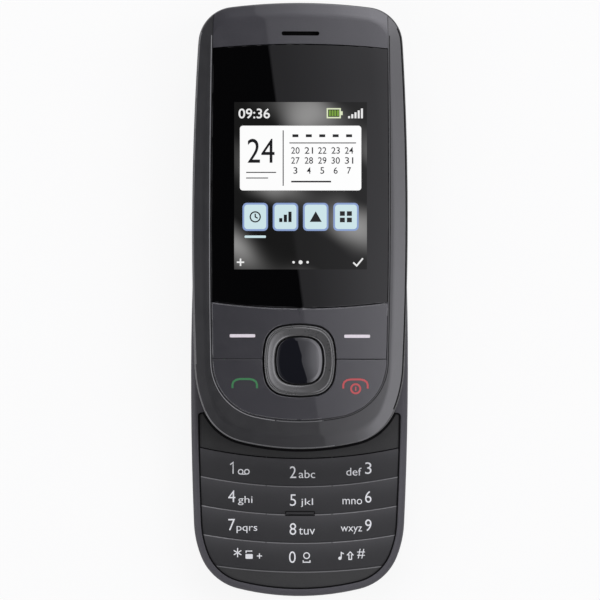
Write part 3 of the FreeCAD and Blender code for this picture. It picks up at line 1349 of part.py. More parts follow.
ui_board_top = ui_board_level + size.ui_board_thickness
plunger_level = ui_board_top + size.film_thickness + size.dome_height + size.key_travel + size.run_gap
soft_push_x = panel_half_width - size.soft_push_inset
call_push_x = panel_half_width - size.call_push_inset
FRONT_KEYS = {
    "soft_key_left": (-soft_push_x, window_foot - size.soft_push_y),
    "soft_key_right": (soft_push_x, window_foot - size.soft_push_y),
    "call_key": (-call_push_x, key_seam - size.call_push_y),
    "end_key": (call_push_x, key_seam - size.call_push_y),
}
NAVI_PUSHES = [(size.navi_push * x, navi_y + size.navi_push * y)
               for x, y in ((1, 0), (-1, 0), (0, 1), (0, -1))]


def make_navigation():
    pad = piece("navi_pad", in_slider=True)
    pad_level = panel_level - size.pad_depth
    add(pad, pad_level, size.pad_thickness,
        squircle(0, navi_y, size.ring_size - size.pad_inset * 2, size.ring_corner - size.pad_inset))
    cut(pad, pad_level, size.pad_thickness, disc(0, navi_y, size.pad_hole))
    add(pad, plunger_level, pad_level - plunger_level + size.plunger_root,
        *[disc(x, y, size.navi_push_diameter) for x, y in NAVI_PUSHES])
    ring = piece("navi_ring", in_slider=True)
    top = slider_top + size.ring_rise
    add(ring, plate_level, top - plate_level, squircle(0, navi_y, size.ring_size, size.ring_corner))
    cut(ring, plate_level, top - plate_level,
        squircle(0, navi_y, size.ring_inner, size.ring_inner_corner))
    fillet(ring, size.ring_edge_radius, edges_at(top))
    select = piece("select_key", in_slider=True)
    select_top = slider_top + size.ring_rise / 2
    add(select, plate_level, select_top - plate_level,
        squircle(0, navi_y, size.select_size, size.select_corner))
    fillet(select, size.select_edge_radius, edges_at(select_top))
    add(select, plunger_level, plate_level - plunger_level + size.plunger_root,
        disc(0, navi_y, size.plunger_diameter))


# ---------------------------------------------------------------- build, check and write

make_rear_cover()
make_base_rear_housing()
make_base_front_housing()
make_housing_screws()
make_battery()
make_battery_connector()
make_sim()
make_main_board()
make_antenna()
make_socket("charger_socket", -1, size.charger_bore, size.charger_pin)
make_socket("headset_socket", 1, size.headset_bore)
make_microphone()
make_vibration_motor()
make_loudspeaker()
make_camera()
make_dome_sheet()
make_keypad_panel()
for key_name, (key_row, key_column) in zip(KEY_NAMES, key_plan()):
    make_key(key_name, key_row, key_column)
make_slide_rail_plate()
make_slide_carriage()
make_toggle_springs()
make_flex_cable()
make_slider_rear_cover()
make_slider_frame()
make_slider_screws()
make_earpiece()
make_display()
make_front_keys()
make_navigation()
doc.recompute()

for item in doc.Objects:
    if "Invalid" in item.State or "Error" in item.State:
        raise RuntimeError(f"{item.Label} failed: {item.State}")
for body in PIECES:
    if body.Shape.isNull() or not body.Shape.isValid():
        raise RuntimeError(f"{body.Label} has no valid shape")

os.makedirs("parts", exist_ok=True)
for body in PIECES:
    body.Shape.exportStep(f"parts/{body.Label}.step")
print(len(PIECES), "pieces written")
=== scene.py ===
import json
import math

import bmesh
import bpy
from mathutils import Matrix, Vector
from mathutils.bvhtree import BVHTree


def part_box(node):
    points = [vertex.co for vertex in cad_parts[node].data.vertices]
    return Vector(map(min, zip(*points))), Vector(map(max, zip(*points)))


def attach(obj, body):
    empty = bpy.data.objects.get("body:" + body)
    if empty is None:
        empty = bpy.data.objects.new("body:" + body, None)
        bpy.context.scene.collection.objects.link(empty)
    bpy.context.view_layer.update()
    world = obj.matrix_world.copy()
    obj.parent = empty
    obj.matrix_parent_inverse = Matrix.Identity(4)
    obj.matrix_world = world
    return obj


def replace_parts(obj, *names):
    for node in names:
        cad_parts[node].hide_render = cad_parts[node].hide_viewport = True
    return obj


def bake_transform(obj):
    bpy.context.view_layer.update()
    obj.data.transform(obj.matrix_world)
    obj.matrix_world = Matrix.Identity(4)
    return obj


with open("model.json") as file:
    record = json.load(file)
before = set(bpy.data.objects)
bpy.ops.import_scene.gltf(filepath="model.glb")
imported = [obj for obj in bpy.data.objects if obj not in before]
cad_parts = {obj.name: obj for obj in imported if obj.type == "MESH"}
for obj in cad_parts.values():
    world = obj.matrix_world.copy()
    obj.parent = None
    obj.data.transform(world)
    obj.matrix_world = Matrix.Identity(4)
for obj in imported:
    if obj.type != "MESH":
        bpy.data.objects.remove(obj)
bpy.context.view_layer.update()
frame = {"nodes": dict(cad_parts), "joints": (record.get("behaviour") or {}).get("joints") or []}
nodes = frame["nodes"]

MM = 0.001
SCALE = 4643.0  # image pixels to a metre of the phone's face
IMAGE_WIDTH = 600.0
MIDDLE = IMAGE_WIDTH / 2  # the square image's middle, across and down
AIM = Vector((0.065 * MM, 15.38 * MM, 12.0 * MM))
ROLL = math.radians(0.17)  # the phone stands this far off the image's vertical
FAR = 2.4  # the camera's level, far enough for almost no perspective

BOW_CENTRE = 80.1 * MM  # the rows of number keys are arcs about this point of the centre line
ROW_START = 98.8 * MM  # the first row's upper edge, as a radius about it
ROW_PITCH = 6.1 * MM
COLUMN_SEAM = 7.15 * MM  # the middle column's half width
KEYPAD = [("key_1", "key_2", "key_3"), ("key_4", "key_5", "key_6"), ("key_7", "key_8", "key_9"),
          ("key_star", "key_0", "key_hash")]
FRONT_KEYS = ["soft_key_left", "soft_key_right", "call_key", "end_key"]

scene = bpy.context.scene
scene.view_settings.view_transform = "Standard"


def from_image(px, py):
    """The place on the phone's face that shows at an image point."""
    right = (px - MIDDLE) / SCALE
    up = (MIDDLE - py) / SCALE
    x = AIM.x + right * math.cos(ROLL) - up * math.sin(ROLL)
    y = AIM.y + right * math.sin(ROLL) + up * math.cos(ROLL)
    return x, y


# ---- node trees

def feed(socket, value):
    """Set a socket to a number or colour, or link it to what another node gives."""
    if isinstance(value, bpy.types.NodeSocket):
        socket.id_data.links.new(value, socket)
    elif socket.type == "RGBA":
        socket.default_value = (*value[:3], 1.0)
    else:
        socket.default_value = value


def fill(node, **values):
    """Feed a node's sockets by name, with underscores for the spaces in a name."""
    for name, value in values.items():
        feed(node.inputs[name.replace("_", " ")], value)


class Graph:
    """A node tree, with the few kinds of node that are used here."""

    def __init__(self, tree):
        self.tree = tree
        self.output = next(n for n in tree.nodes if n.bl_idname.startswith("ShaderNodeOutput"))

    def new(self, kind, **values):
        node = self.tree.nodes.new("ShaderNode" + kind)
        fill(node, **values)
        return node

    def math(self, kind, *values):
        node = self.new("Math")
        node.operation = kind
        for socket, value in zip(node.inputs, values):
            feed(socket, value)
        return node.outputs["Value"]

    def plus(self, first, second):
        return self.math("ADD", first, second)

    def times(self, first, second):
        return self.math("MULTIPLY", first, second)

    def range(self, source, low, high, start=0.3, stop=0.7):
        node = self.new("MapRange", Value=source, From_Min=start, From_Max=stop, To_Min=low, To_Max=high)
        return node.outputs["Result"]


class Surface(Graph):
    """A new material, which places its patterns by the object's own coordinates."""

    def __init__(self, name):
        self.material = bpy.data.materials.new(name)
        self.material.use_nodes = True
        super().__init__(self.material.node_tree)
        self.shader = self.tree.nodes["Principled BSDF"]
        self.place = self.new("TexCoord").outputs["Object"]
        self.axes = self.new("SeparateXYZ", Vector=self.place).outputs

    def dress(self, **values):
        fill(self.shader, **values)

    def noise(self, scale, detail=2.0, rough=0.5, stretch=None):
        place = self.place
        if stretch:
            place = self.new("Mapping", Vector=place, Scale=stretch).outputs["Vector"]
        return self.new("TexNoise", Vector=place, Scale=scale, Detail=detail, Roughness=rough).outputs["Fac"]

    def mix(self, factor, first, second):
        node = self.new("Mix")
        node.data_type = "RGBA"
        fill(node, Factor=factor)
        for socket, value in zip([s for s in node.inputs if s.type == "RGBA"], (first, second)):
            feed(socket, value)
        return next(s for s in node.outputs if s.type == "RGBA")

    def bump(self, height, strength, depth):
        node = self.new("Bump", Height=height, Strength=strength, Distance=depth)
        self.dress(Normal=node.outputs["Normal"])

    def wave(self, source, pitch):
        return self.math("SINE", self.times(source, 2 * math.pi / pitch))


# ---- materials

BROAD, PATCHY = 55.0, 420.0  # how fine broad shifts of colour and worn patches are, as noise scales
GRAIN_DEPTH = 0.03 * MM
HAIR_DEPTH = 0.005 * MM
INK_DEPTH = 0.01 * MM
BOARD_DEPTH = 0.02 * MM
CLEAR_COAT = 0.025  # a clear coat's roughness
ROW_PAINTED_PALE = 2.1  # how much paler the number keys are painted at each row's upper edge: painted light, as if that edge caught more of it
ROW_PAINTED_PALE_FALL = 2.6  # how fast that painted light fades below a row's upper edge
DOT_ACROSS, DOT_ALONG = 0.223 * MM, 0.225 * MM  # the display's dots
DOT_SHADE = 0.95  # how bright it is between them
SPARK_GRAIN = 4200.0
SPARK_GREY = (0.040, 0.040, 0.044)
RIDGE_PITCH = 1.6 * MM  # the rear cover's finger ridges
RIDGES_FOOT, RIDGES_HEAD, RIDGES_HALF = 13.5 * MM, 23.2 * MM, 12.5 * MM
RIDGE_OVER_GRAIN = 5.0
BOARD_CELLS = 340.0


def linear(value):
    """The light that a colour value from 0 to 255 stands for."""
    value = value / 255.0
    return value / 12.92 if value <= 0.04045 else ((value + 0.055) / 1.055) ** 2.4


def colour(red, green, blue):
    return linear(red), linear(green), linear(blue)


def toned(base, share):
    """A colour made darker or paler, up to white."""
    return tuple(min(1.0, c * share) for c in base)


def row_painted_light(g):
    """How much painted light the number keys get: 1 at each row's upper edge, falling to 0 at its lower one.
    """
    x, y = g.axes["X"], g.math("SUBTRACT", BOW_CENTRE, g.axes["Y"])
    radius = g.math("SQRT", g.plus(g.times(x, x), g.times(y, y)))
    part = g.math("FRACT", g.math("DIVIDE", g.math("SUBTRACT", radius, ROW_START), ROW_PITCH))
    return g.math("POWER", g.range(part, 1.0, 0.0, 0.0, 1.0), ROW_PAINTED_PALE_FALL)


def moulded(name, base, roughness, grain=9000.0, bump=0.25, vary=0.08, speck=0.12, specular=0.5,
            metal=0.0, coat=0.0, brushed=None, painted_rows=False):
    """A moulded, painted or rolled surface: grain, broad shifts of colour and a worn patchiness."""
    g = Surface(name)
    fine = g.noise(grain, 3.0, 0.6, brushed)
    shade = g.plus(g.range(g.noise(BROAD, 3.0), -vary, vary), g.range(fine, -speck, speck))
    spread = vary + speck
    tone = g.range(shade, 0.0, 1.0, -spread, spread)
    tint = g.mix(tone, toned(base, 1 - spread), toned(base, 1 + spread))
    # painted light: the number keys are painted paler at each row's upper edge and darker towards its lower
    # one
    if painted_rows:
        pale = toned(base, ROW_PAINTED_PALE)
        tint = g.mix(row_painted_light(g), tint, g.mix(tone, toned(pale, 1 - spread), toned(pale, 1 + spread)))
    worn = g.range(g.noise(PATCHY, 4.0, 0.65), roughness * 0.92, roughness * 1.1)
    g.dress(Base_Color=tint, Roughness=worn, Metallic=metal, Specular_IOR_Level=specular,
            Coat_Weight=coat, Coat_Roughness=CLEAR_COAT)
    g.bump(fine, bump, GRAIN_DEPTH)
    return g.material


def polished(name, base, roughness=0.006, specular=0.5):
    """Gloss with fine hairlines and faint finger smears in its roughness."""
    g = Surface(name)
    smear = g.noise(90.0, 5.0, 0.6)
    hair = g.noise(2600.0, 2.0, 0.5, (1.0, 0.05, 1.0))
    worn = g.plus(g.range(smear, 0.0, roughness, 0.45, 0.75), g.range(hair, 0.0, roughness, 0.6, 0.8))
    g.dress(Base_Color=g.mix(smear, base, toned(base, 1.15)), Roughness=g.plus(worn, roughness),
            Specular_IOR_Level=specular)
    g.bump(hair, 0.02, HAIR_DEPTH)
    return g.material


def printed(name, base, roughness=0.45):
    """Ink: even, with the slight mottle of a pad print."""
    g = Surface(name)
    mottle = g.noise(5200.0, 3.0, 0.6)
    g.dress(Base_Color=g.mix(g.range(mottle, 0.0, 1.0), toned(base, 0.88), base),
            Roughness=g.range(mottle, roughness * 0.9, roughness * 1.1))
    g.bump(mottle, 0.08, INK_DEPTH)
    return g.material


def shining(g, light):
    """Finish a material of the display: its light comes from under the window's gloss."""
    g.dress(Emission_Color=light, Emission_Strength=1.0, Base_Color=(0.002, 0.002, 0.002),
            Roughness=0.04, Specular_IOR_Level=0.2)
    return g.material


def lit(name, base):
    """An evenly lit area of the display, in a fine grid of dots."""
    g = Surface(name)
    grid = g.plus(g.wave(g.axes["X"], DOT_ACROSS), g.wave(g.axes["Y"], DOT_ALONG))
    return shining(g, g.mix(g.range(grid, 0.0, 1.0, -2.0, 2.0), toned(base, DOT_SHADE), base))


def wallpaper():
    """A dark page of the display with soft slanting waves of light."""
    g = Surface("page_soft_waves")

    def slanting(across, along):
        return g.plus(g.times(g.axes["X"], across), g.times(g.axes["Y"], along))

    sway = g.times(g.noise(70.0, 1.0), 3.2)
    wave = g.math("SINE", g.plus(slanting(190.0, 330.0), sway))
    fold = g.math("SINE", slanting(-260.0, 150.0))
    glow = g.times(g.range(wave, 0.0, 1.0, -0.6, 1.0), g.range(fold, 0.3, 1.0, -1.0, 1.0))
    shade = g.plus(g.times(g.math("POWER", glow, 1.8), 0.26), 0.008)
    return shining(g, g.mix(shade, (0.0, 0.0, 0.0), (1.0, 0.99, 0.98)))


def circuit(name, mask, trace_colour):
    """A printed board: solder mask over traces that run in straight cells."""
    g = Surface(name)
    cell = g.new("TexBrick", Vector=g.place, Scale=BOARD_CELLS, Mortar_Size=0.035, Color1=mask,
                 Color2=toned(mask, 1.2), Mortar=trace_colour)
    g.dress(Base_Color=cell.outputs["Color"], Roughness=g.range(g.noise(900.0, 3.0), 0.3, 0.45))
    g.bump(cell.outputs["Fac"], 0.3, BOARD_DEPTH)
    return g.material


def ridged_back():
    """The rear cover: the back's spark grain, with finger ridges across its upper end."""
    g = Surface("rear_cover_ridged")
    along, across = g.axes["Y"], g.axes["X"]
    fine = g.noise(SPARK_GRAIN, 3.0, 0.6)
    tone = g.plus(g.range(g.noise(40.0, 3.0), 0.0, 0.6), g.range(fine, 0.0, 0.4))
    g.dress(Base_Color=g.mix(tone, toned(SPARK_GREY, 0.8), toned(SPARK_GREY, 1.2)),
            Roughness=g.range(g.noise(PATCHY, 4.0), 0.46, 0.58))
    on_rows = g.times(g.math("GREATER_THAN", along, RIDGES_FOOT), g.math("LESS_THAN", along, RIDGES_HEAD))
    inside = g.math("LESS_THAN", g.math("ABSOLUTE", across), RIDGES_HALF)
    ridges = g.times(g.wave(along, RIDGE_PITCH), RIDGE_OVER_GRAIN)
    masked = g.times(ridges, g.times(on_rows, inside))
    g.bump(g.plus(fine, masked), 0.7, GRAIN_DEPTH)
    return g.material


face = moulded("front_panel_grey", (0.027, 0.0265, 0.0320), 0.36, 6500.0, 0.40, coat=1.0)
# the number keys carry painted light: paler at each row's upper edge, darker below it
key_black = moulded("keypad_black", (0.0290, 0.0288, 0.0300), 0.5, bump=0.20, specular=0.2, painted_rows=True)
ring_satin = moulded("ring_satin_grey", (0.055, 0.055, 0.054), 0.28, bump=0.03, specular=0.9, coat=1.0)
# pale lines for painted highlights along edges, and black for dark joints and for painted shade
edge_light = moulded("edge_painted_highlight", (0.27, 0.27, 0.275), 0.3, bump=0.1)
key_edge = moulded("key_edge_painted_highlight", (0.15, 0.15, 0.152), 0.35, bump=0.1)
joint_and_shade_black = moulded("joint_and_shade_black", (0.0015, 0.0015, 0.0018), 0.8, bump=0.2, specular=0.1)
select_gloss = polished("select_key_gloss", (0.0080, 0.0085, 0.0120), 0.010, specular=1.0)
steel = moulded("sheet_steel", (0.42, 0.42, 0.43), 0.32, 2600.0, 0.12, metal=1.0, brushed=(1.0, 0.04, 1.0))
spun = moulded("ring_spun_aluminium", (0.36, 0.36, 0.38), 0.28, 7000.0, 0.15, metal=1.0)
gold = moulded("contact_gold", (0.85, 0.60, 0.22), 0.25, 5000.0, 0.1, metal=1.0)
amber = moulded("flex_amber", (0.36, 0.15, 0.03), 0.35, 2600.0, 0.15)
paper = moulded("battery_label_paper", (0.30, 0.31, 0.33), 0.4, 3500.0, 0.08, vary=0.05, speck=0.03)
eye_glass = polished("camera_eye_glass", (0.010, 0.008, 0.020), 0.01)
ink = printed("legend_ink", colour(242, 243, 244))
bar_ink = printed("soft_bar_ink", colour(240, 231, 237))
ink_green = printed("call_ink_green", colour(47, 122, 70))
ink_red = printed("end_ink_red", colour(196, 74, 78))
screen_white = lit("screen_white", (1.0, 1.0, 1.0))
screen_text = lit("screen_light_text", colour(236, 236, 236))
screen_dark = lit("screen_dark_text", (0.012, 0.012, 0.014))
screen_blue = lit("screen_pale_blue", colour(206, 229, 234))
screen_edge = lit("screen_blue_edge", colour(138, 160, 206))
screen_pale_green = lit("screen_battery_pale", colour(222, 232, 196))
screen_green = lit("screen_green", colour(120, 160, 60))

FINISHES = {
    moulded("housing_soft_grey", (0.070, 0.068, 0.076), 0.5, 8000.0, 0.30, specular=0.25):
        ["base_front_housing"],
    moulded("slider_frame_grey", (0.0138, 0.0138, 0.0150), 0.40, 8000.0, 0.22, coat=1.0): ["slider_frame"],
    face: ["earpiece_panel", *FRONT_KEYS],
    key_black: [name for row in KEYPAD for name in row],
    moulded("keypad_trim_black", (0.037, 0.037, 0.0365), 0.5, specular=0.2): ["keypad_panel"],
    moulded("back_spark_grey", SPARK_GREY, 0.52, SPARK_GRAIN, 0.75, speck=0.16):
        ["base_rear_housing", "slider_rear_cover"],
    ridged_back(): ["rear_cover"],
    ring_satin: ["navi_ring"],
    polished("window_piano_black", (0.0010, 0.0010, 0.0012)): ["display_window"],
    select_gloss: ["select_key"],
    polished("lens_tinted_glass", (0.004, 0.005, 0.008), 0.01): ["camera_window", "lcd_panel"],
    moulded("rubber_black", (0.012, 0.012, 0.012), 0.7, 5000.0, 0.4):
        ["navi_pad", "window_gasket", "slide_stops", "microphone"],
    moulded("part_black", (0.016, 0.016, 0.017), 0.5, 7000.0, 0.3):
        ["charger_socket", "headset_socket", "camera_module", "loudspeaker", "earpiece_speaker"],
    moulded("acetal_white", (0.70, 0.69, 0.64), 0.4, 7000.0, 0.15, vary=0.04, speck=0.04):
        ["slide_guides", "battery_connector"],
    moulded("mesh_woven_black", (0.0025, 0.0025, 0.0025), 0.8, 14000.0, 1.0, speck=0.4, specular=0.1):
        ["speaker_mesh", "earpiece_mesh"],
    steel: ["slide_rail_plate", "slide_carriage", "toggle_springs", "shield_can", "sim_holder",
            "lcd_frame", "vibration_motor", "vibrator_weight"],
    moulded("screw_black_oxide", (0.10, 0.10, 0.105), 0.35, 6000.0, 0.2, metal=1.0):
        ["housing_screws", "slider_screws"],
    spun: ["camera_ring"],
    moulded("antenna_plated", (0.72, 0.45, 0.22), 0.3, 5000.0, 0.1, metal=1.0): ["antenna"],
    moulded("dome_film", (0.62, 0.60, 0.52), 0.35, 3000.0, 0.1, vary=0.05): ["keypad_dome_sheet"],
    moulded("dome_film_black", (0.004, 0.004, 0.004), 0.45, 3000.0, 0.1): ["slider_dome_sheet"],
    amber: ["flex_cable"],
    moulded("battery_wrap", (0.045, 0.046, 0.052), 0.4, 5000.0, 0.12): ["battery"],
    moulded("card_white", (0.75, 0.75, 0.74), 0.45, 4000.0, 0.1, vary=0.03, speck=0.03): ["sim_card"],
    circuit("board_solder_mask", (0.012, 0.075, 0.030), (0.05, 0.16, 0.07)): ["main_board", "ui_board"],
}
for finish, names in FINISHES.items():
    for name in names:
        for material_slot in nodes[name].material_slots:
            material_slot.material = finish


# ---- thin shapes

PROUD = 0.012 * MM  # what is printed or worn stands this far out of its surface
SUNK = 0.03 * MM  # and reaches this far into it
OVERHEAD = 50 * MM  # a level over the whole phone, to look down from
MERGE = 0.001 * MM  # points of a CAD mesh as near as this are one
SMOOTH = 32  # degrees between faces that still shade as one
SURFACES = {}


def skin(bm, rows, closed=False):
    """A closed body through rows of points. Its last row meets the first, or both have a flat end.

    A first and a last row of one point each need neither.
    """
    made = [[bm.verts.new(p) for p in row] for row in rows]
    pairs = list(zip(made, made[1:]))
    if closed:
        pairs.append((made[-1], made[0]))
    elif len(rows[0]) > 1:
        bm.faces.new(made[0])
        bm.faces.new(made[-1])
    for first, second in pairs:
        for i in range(max(len(first), len(second))):
            around = (first, i), (first, i + 1), (second, i + 1), (second, i)
            corners = [row[k % len(row)] for row, k in around]
            bm.faces.new(list(dict.fromkeys(corners)))


def prism(bm, outline, low=-SUNK, high=PROUD):
    """A closed plate with a simple outline, from low to high."""
    skin(bm, [[(x, y, z) for x, y in outline] for z in (low, high)])


def shift(points, distance, closed=False):
    """A path moved to its left by a distance, its corners kept sharp."""
    points = [Vector(p) for p in points]
    count = len(points)
    moved = []
    for i, point in enumerate(points):
        legs = []
        if closed or i > 0:
            legs.append((point - points[i - 1]).normalized())
        if closed or i < count - 1:
            legs.append((points[(i + 1) % count] - point).normalized())
        along = sum(legs, Vector((0, 0))).normalized()
        side = Vector((-along.y, along.x)) / max(0.5, along.dot(legs[0]))
        moved.append(point + side * distance)
    return moved


def band(bm, points, width, closed=False, low=-SUNK, high=PROUD):
    """A closed plate of even width along a path."""
    left, right = (shift(points, side * width / 2, closed) for side in (1, -1))
    skin(bm, [[(*p, high), (*q, high), (*q, low), (*p, low)] for p, q in zip(left, right)], closed)


def circle(x, y, radius, count=28):
    steps = [2 * math.pi * i / count for i in range(count)]
    return [(x + radius * math.cos(a), y + radius * math.sin(a)) for a in steps]


def arc(x, y, radius, start, stop, count):
    """Points of an arc in image pixels, from and to an angle in degrees; y grows downwards."""
    steps = [math.radians(start + (stop - start) * i / count) for i in range(count + 1)]
    return [(x + radius * math.cos(a), y - radius * math.sin(a)) for a in steps]


def ring(x, y, radius):
    """A closed round path in image pixels."""
    loop = arc(x, y, radius, 0, 360, 20)
    return loop[:-1] + [loop[0]]


def rounded(x0, x1, y0, y1, radius, count=6):
    """A rectangle's outline with round corners, in image pixels."""
    outline = []
    for x, y, start in ((x1 - radius, y0 + radius, 0), (x0 + radius, y0 + radius, 90),
                        (x0 + radius, y1 - radius, 180), (x1 - radius, y1 - radius, 270)):
        outline += arc(x, y, radius, start, start + 90, count)
    return outline


def block(x0, x1, y0, y1):
    """A rectangle's outline."""
    return [(x0, y0), (x1, y0), (x1, y1), (x0, y1)]


def surface(name):
    """A CAD node's own surface, to rest thin shapes on."""
    if name not in SURFACES:
        mesh = nodes[name].data
        SURFACES[name] = BVHTree.FromPolygons([v.co for v in mesh.vertices],
                                              [p.vertices[:] for p in mesh.polygons])
    return SURFACES[name]


def height(name, x, y):
    """The level of a node's surface under a point, or None beside it."""
    hit = surface(name).ray_cast(Vector((x, y, OVERHEAD)), Vector((0, 0, -1)))[0]
    return None if hit is None else hit.z


def lay_on(bm, name, aside=0.0):
    """Rest a thin shape on a node, at the level that the node has a step aside from it."""
    for v in bm.verts:
        level = height(name, v.co.x + aside, v.co.y)
        if level is None:
            level = surface(name).find_nearest(Vector((v.co.x, v.co.y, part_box(name)[1].z)))[0].z
        v.co.z += level


def piece(name, bm, material, body, smooth=SMOOTH):
    """Make an object of a mesh, which rides on a body unless that is None."""
    bmesh.ops.recalc_face_normals(bm, faces=bm.faces[:])
    mesh = bpy.data.meshes.new(name)
    bm.to_mesh(mesh)
    bm.free()
    mesh.materials.append(material)
    for polygon in mesh.polygons:
        polygon.use_smooth = True
    mesh.set_sharp_from_angle(angle=math.radians(smooth))
    made = bpy.data.objects.new(name, mesh)
    scene.collection.objects.link(made)
    if body:
        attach(made, body)
    return made


# ---- ink and lit marks

THIN = -0.003  # letters of ink are made this much thinner than the font's
PEN = 1.05  # width of a line of ink, in image pixels
LETTER_MERGE = 0.00001  # in the font's own units, as are its depth and thinning


def on_face(points):
    return [from_image(x, y) for x, y in points]


def flat_letters(text, weight):
    """A mesh of letters one unit deep, about a font's unit high."""
    curve = bpy.data.curves.new("letters", "FONT")
    curve.body = text
    curve.extrude = 0.5
    curve.offset = weight
    curve.resolution_u = 5
    holder = bpy.data.objects.new("letters", curve)
    scene.collection.objects.link(holder)
    mesh = bpy.data.meshes.new_from_object(holder.evaluated_get(bpy.context.evaluated_depsgraph_get()))
    bpy.data.objects.remove(holder)
    bpy.data.curves.remove(curve)
    letters = bmesh.new()
    letters.from_mesh(mesh)
    bpy.data.meshes.remove(mesh)
    bmesh.ops.remove_doubles(letters, verts=letters.verts[:], dist=LETTER_MERGE)
    return letters


def lettering(bm, text, x0, x1, y0, y1, weight=THIN, low=-SUNK, high=PROUD):
    """Letters that fill a rectangle of the image."""
    letters = flat_letters(text, weight)
    xs = [v.co.x for v in letters.verts]
    ys = [v.co.y for v in letters.verts]
    made = {}
    for v in letters.verts:
        across = (v.co.x - min(xs)) / (max(xs) - min(xs))
        up = (v.co.y - min(ys)) / (max(ys) - min(ys))
        x, y = from_image(x0 + (x1 - x0) * across, y1 + (y0 - y1) * up)
        made[v] = bm.verts.new((x, y, high if v.co.z > 0 else low))
    for f in letters.faces:
        bm.faces.new([made[v] for v in f.verts])
    letters.free()


def drawn(words=(), lines=(), filled=(), low=-SUNK, high=PROUD):
    """A flat mesh of words with their places, (pen, paths) pairs and filled outlines, in image pixels."""
    bm = bmesh.new()
    for text, *place in words:
        lettering(bm, text, *place, low=low, high=high)
    for pen, paths in lines:
        for path in paths:
            closed = path[0] == path[-1]
            band(bm, on_face(path[:-1] if closed else path), pen / SCALE, closed, low, high)
    for outline in filled:
        prism(bm, on_face(outline), low, high)
    return bm


def mark(name, node, material, slot, **parts):
    """Ink on a key."""
    bm = drawn(**parts)
    lay_on(bm, node)
    piece(name, bm, material, node)


# ---- edges of nodes

FLAT_DEPTH = 0.02 * MM  # how far a flat top's faces may lie under its highest point
EVEN_STEP = 0.4 * MM
COINCIDE = 0.05 * MM
WALL_REACH = 30 * MM  # farther from the ring's middle than any wall that is looked for

ring_low, ring_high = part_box("navi_ring")
RING_MIDDLE = Vector((0.0, (ring_low.y + ring_high.y) / 2))


def rims(name):
    """The outlines of a node's highest flat faces, each a closed path with its face on the left.

    The flat faces are kept in order, so that a path starts at the same point in every run.
    """
    bm = bmesh.new()
    bm.from_mesh(nodes[name].data)
    bmesh.ops.remove_doubles(bm, verts=bm.verts[:], dist=MERGE)
    bm.verts.ensure_lookup_table()
    top = max(v.co.z for v in bm.verts)
    flat = dict.fromkeys(f for f in bm.faces
                         if f.normal.z > 0.98 and f.calc_center_median().z > top - FLAT_DEPTH)
    after = {}
    for flat_face in flat:
        for loop in flat_face.loops:
            if not any(other in flat for other in loop.edge.link_faces if other is not flat_face):
                after[loop.vert.index] = loop.link_loop_next.vert.index
    paths = []
    while after:
        start, here = after.popitem()
        path = [start]
        while here != start and here in after:
            path.append(here)
            here = after.pop(here)
        paths.append([Vector(bm.verts[i].co[:2]) for i in path])
    bm.free()
    return paths


def length(path):
    return sum((end - start).length for start, end in zip(path, path[1:]))


def run_where(path, wanted):
    """The longest stretch of a closed path whose points all pass a test."""
    marks = [wanted(p) for p in path]
    if all(marks):
        return path + path[:1]
    first = marks.index(False)
    best, here = [], []
    for point, passed in zip(path[first:] + path[:first], marks[first:] + marks[:first]):
        here = here + [point] if passed else []
        best = max(best, here, key=length)
    return best


def even(path):
    """A path with points at most a step apart, and none that nearly coincide."""
    found = [path[0]]
    for point in path[1:]:
        start, gap = found[-1], (point - found[-1]).length
        if gap > COINCIDE:
            parts = math.ceil(gap / EVEN_STEP)
            found += [start.lerp(point, i / parts) for i in range(1, parts + 1)]
    return found


def edge_beside(name, reach, drop, spot):
    """The stretch of a node's flat top that borders a recess and comes nearest a spot.

    The recess lies at least drop lower at a distance of reach outside the edge.
    """
    runs = []
    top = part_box(name)[1].z
    for path in rims(name):
        outside = {tuple(p): q for p, q in zip(path, shift(path, -reach, True))}

        def borders(point):
            beside = outside[tuple(point)]
            level = height(name, beside.x, beside.y)
            return level is not None and level < top - drop

        runs.append(run_where(path, borders))
    return min((run for run in runs if run), key=lambda run: min((p - spot).length for p in run))


def hits(name, rays):
    """Where level rays, each with its start and direction, first meet a node."""
    found = [surface(name).ray_cast(*ray, WALL_REACH)[0] for ray in rays]
    return [hit.xy for hit in found if hit is not None]


def walls(name, level, outward, count=96):
    """Where a node's wall stands at a level, round the ring's middle, seen from there or from outside."""
    middle = Vector((*RING_MIDDLE, level))
    spokes = [Vector((*p, 0.0)) for p in circle(0.0, 0.0, 1.0, count)]
    return hits(name, [(middle, s) if outward else (middle + s * WALL_REACH, -s) for s in spokes])


def trace(name, path, line, rests, material, body):
    """A line along a path, (how far to its left, how wide) in mm, that follows what it rests on."""
    offset, width = (part * MM for part in line)
    bm = bmesh.new()
    band(bm, shift(even(path), offset), width)
    lay_on(bm, rests)
    piece(name, bm, material, body)


def lip(name, path, line, low, high, body):
    """A flat black lip along a path, (how far to its left, how wide) in mm, between two levels."""
    offset, width = (part * MM for part in line)
    bm = bmesh.new()
    band(bm, shift(path, offset), width, False, low, high)
    piece(name, bm, joint_and_shade_black, body)


# ---- joints and rolled edges

INLAY_JOINT, INLAY_EDGE = (0.08, 0.18), (0.25, 0.16)  # lines have a shift and a width in mm
FADING, LIT_END = -5 * MM, 5 * MM  # the inlay's painted highlight fades between these, from left to right, to painted shade
HEAD_LEVEL = 15.2 * MM  # the slider's head is higher than this beside the earpiece panel
SEAM_GAP = 0.03 * MM
SEAM_FOOT = 1.5 * MM
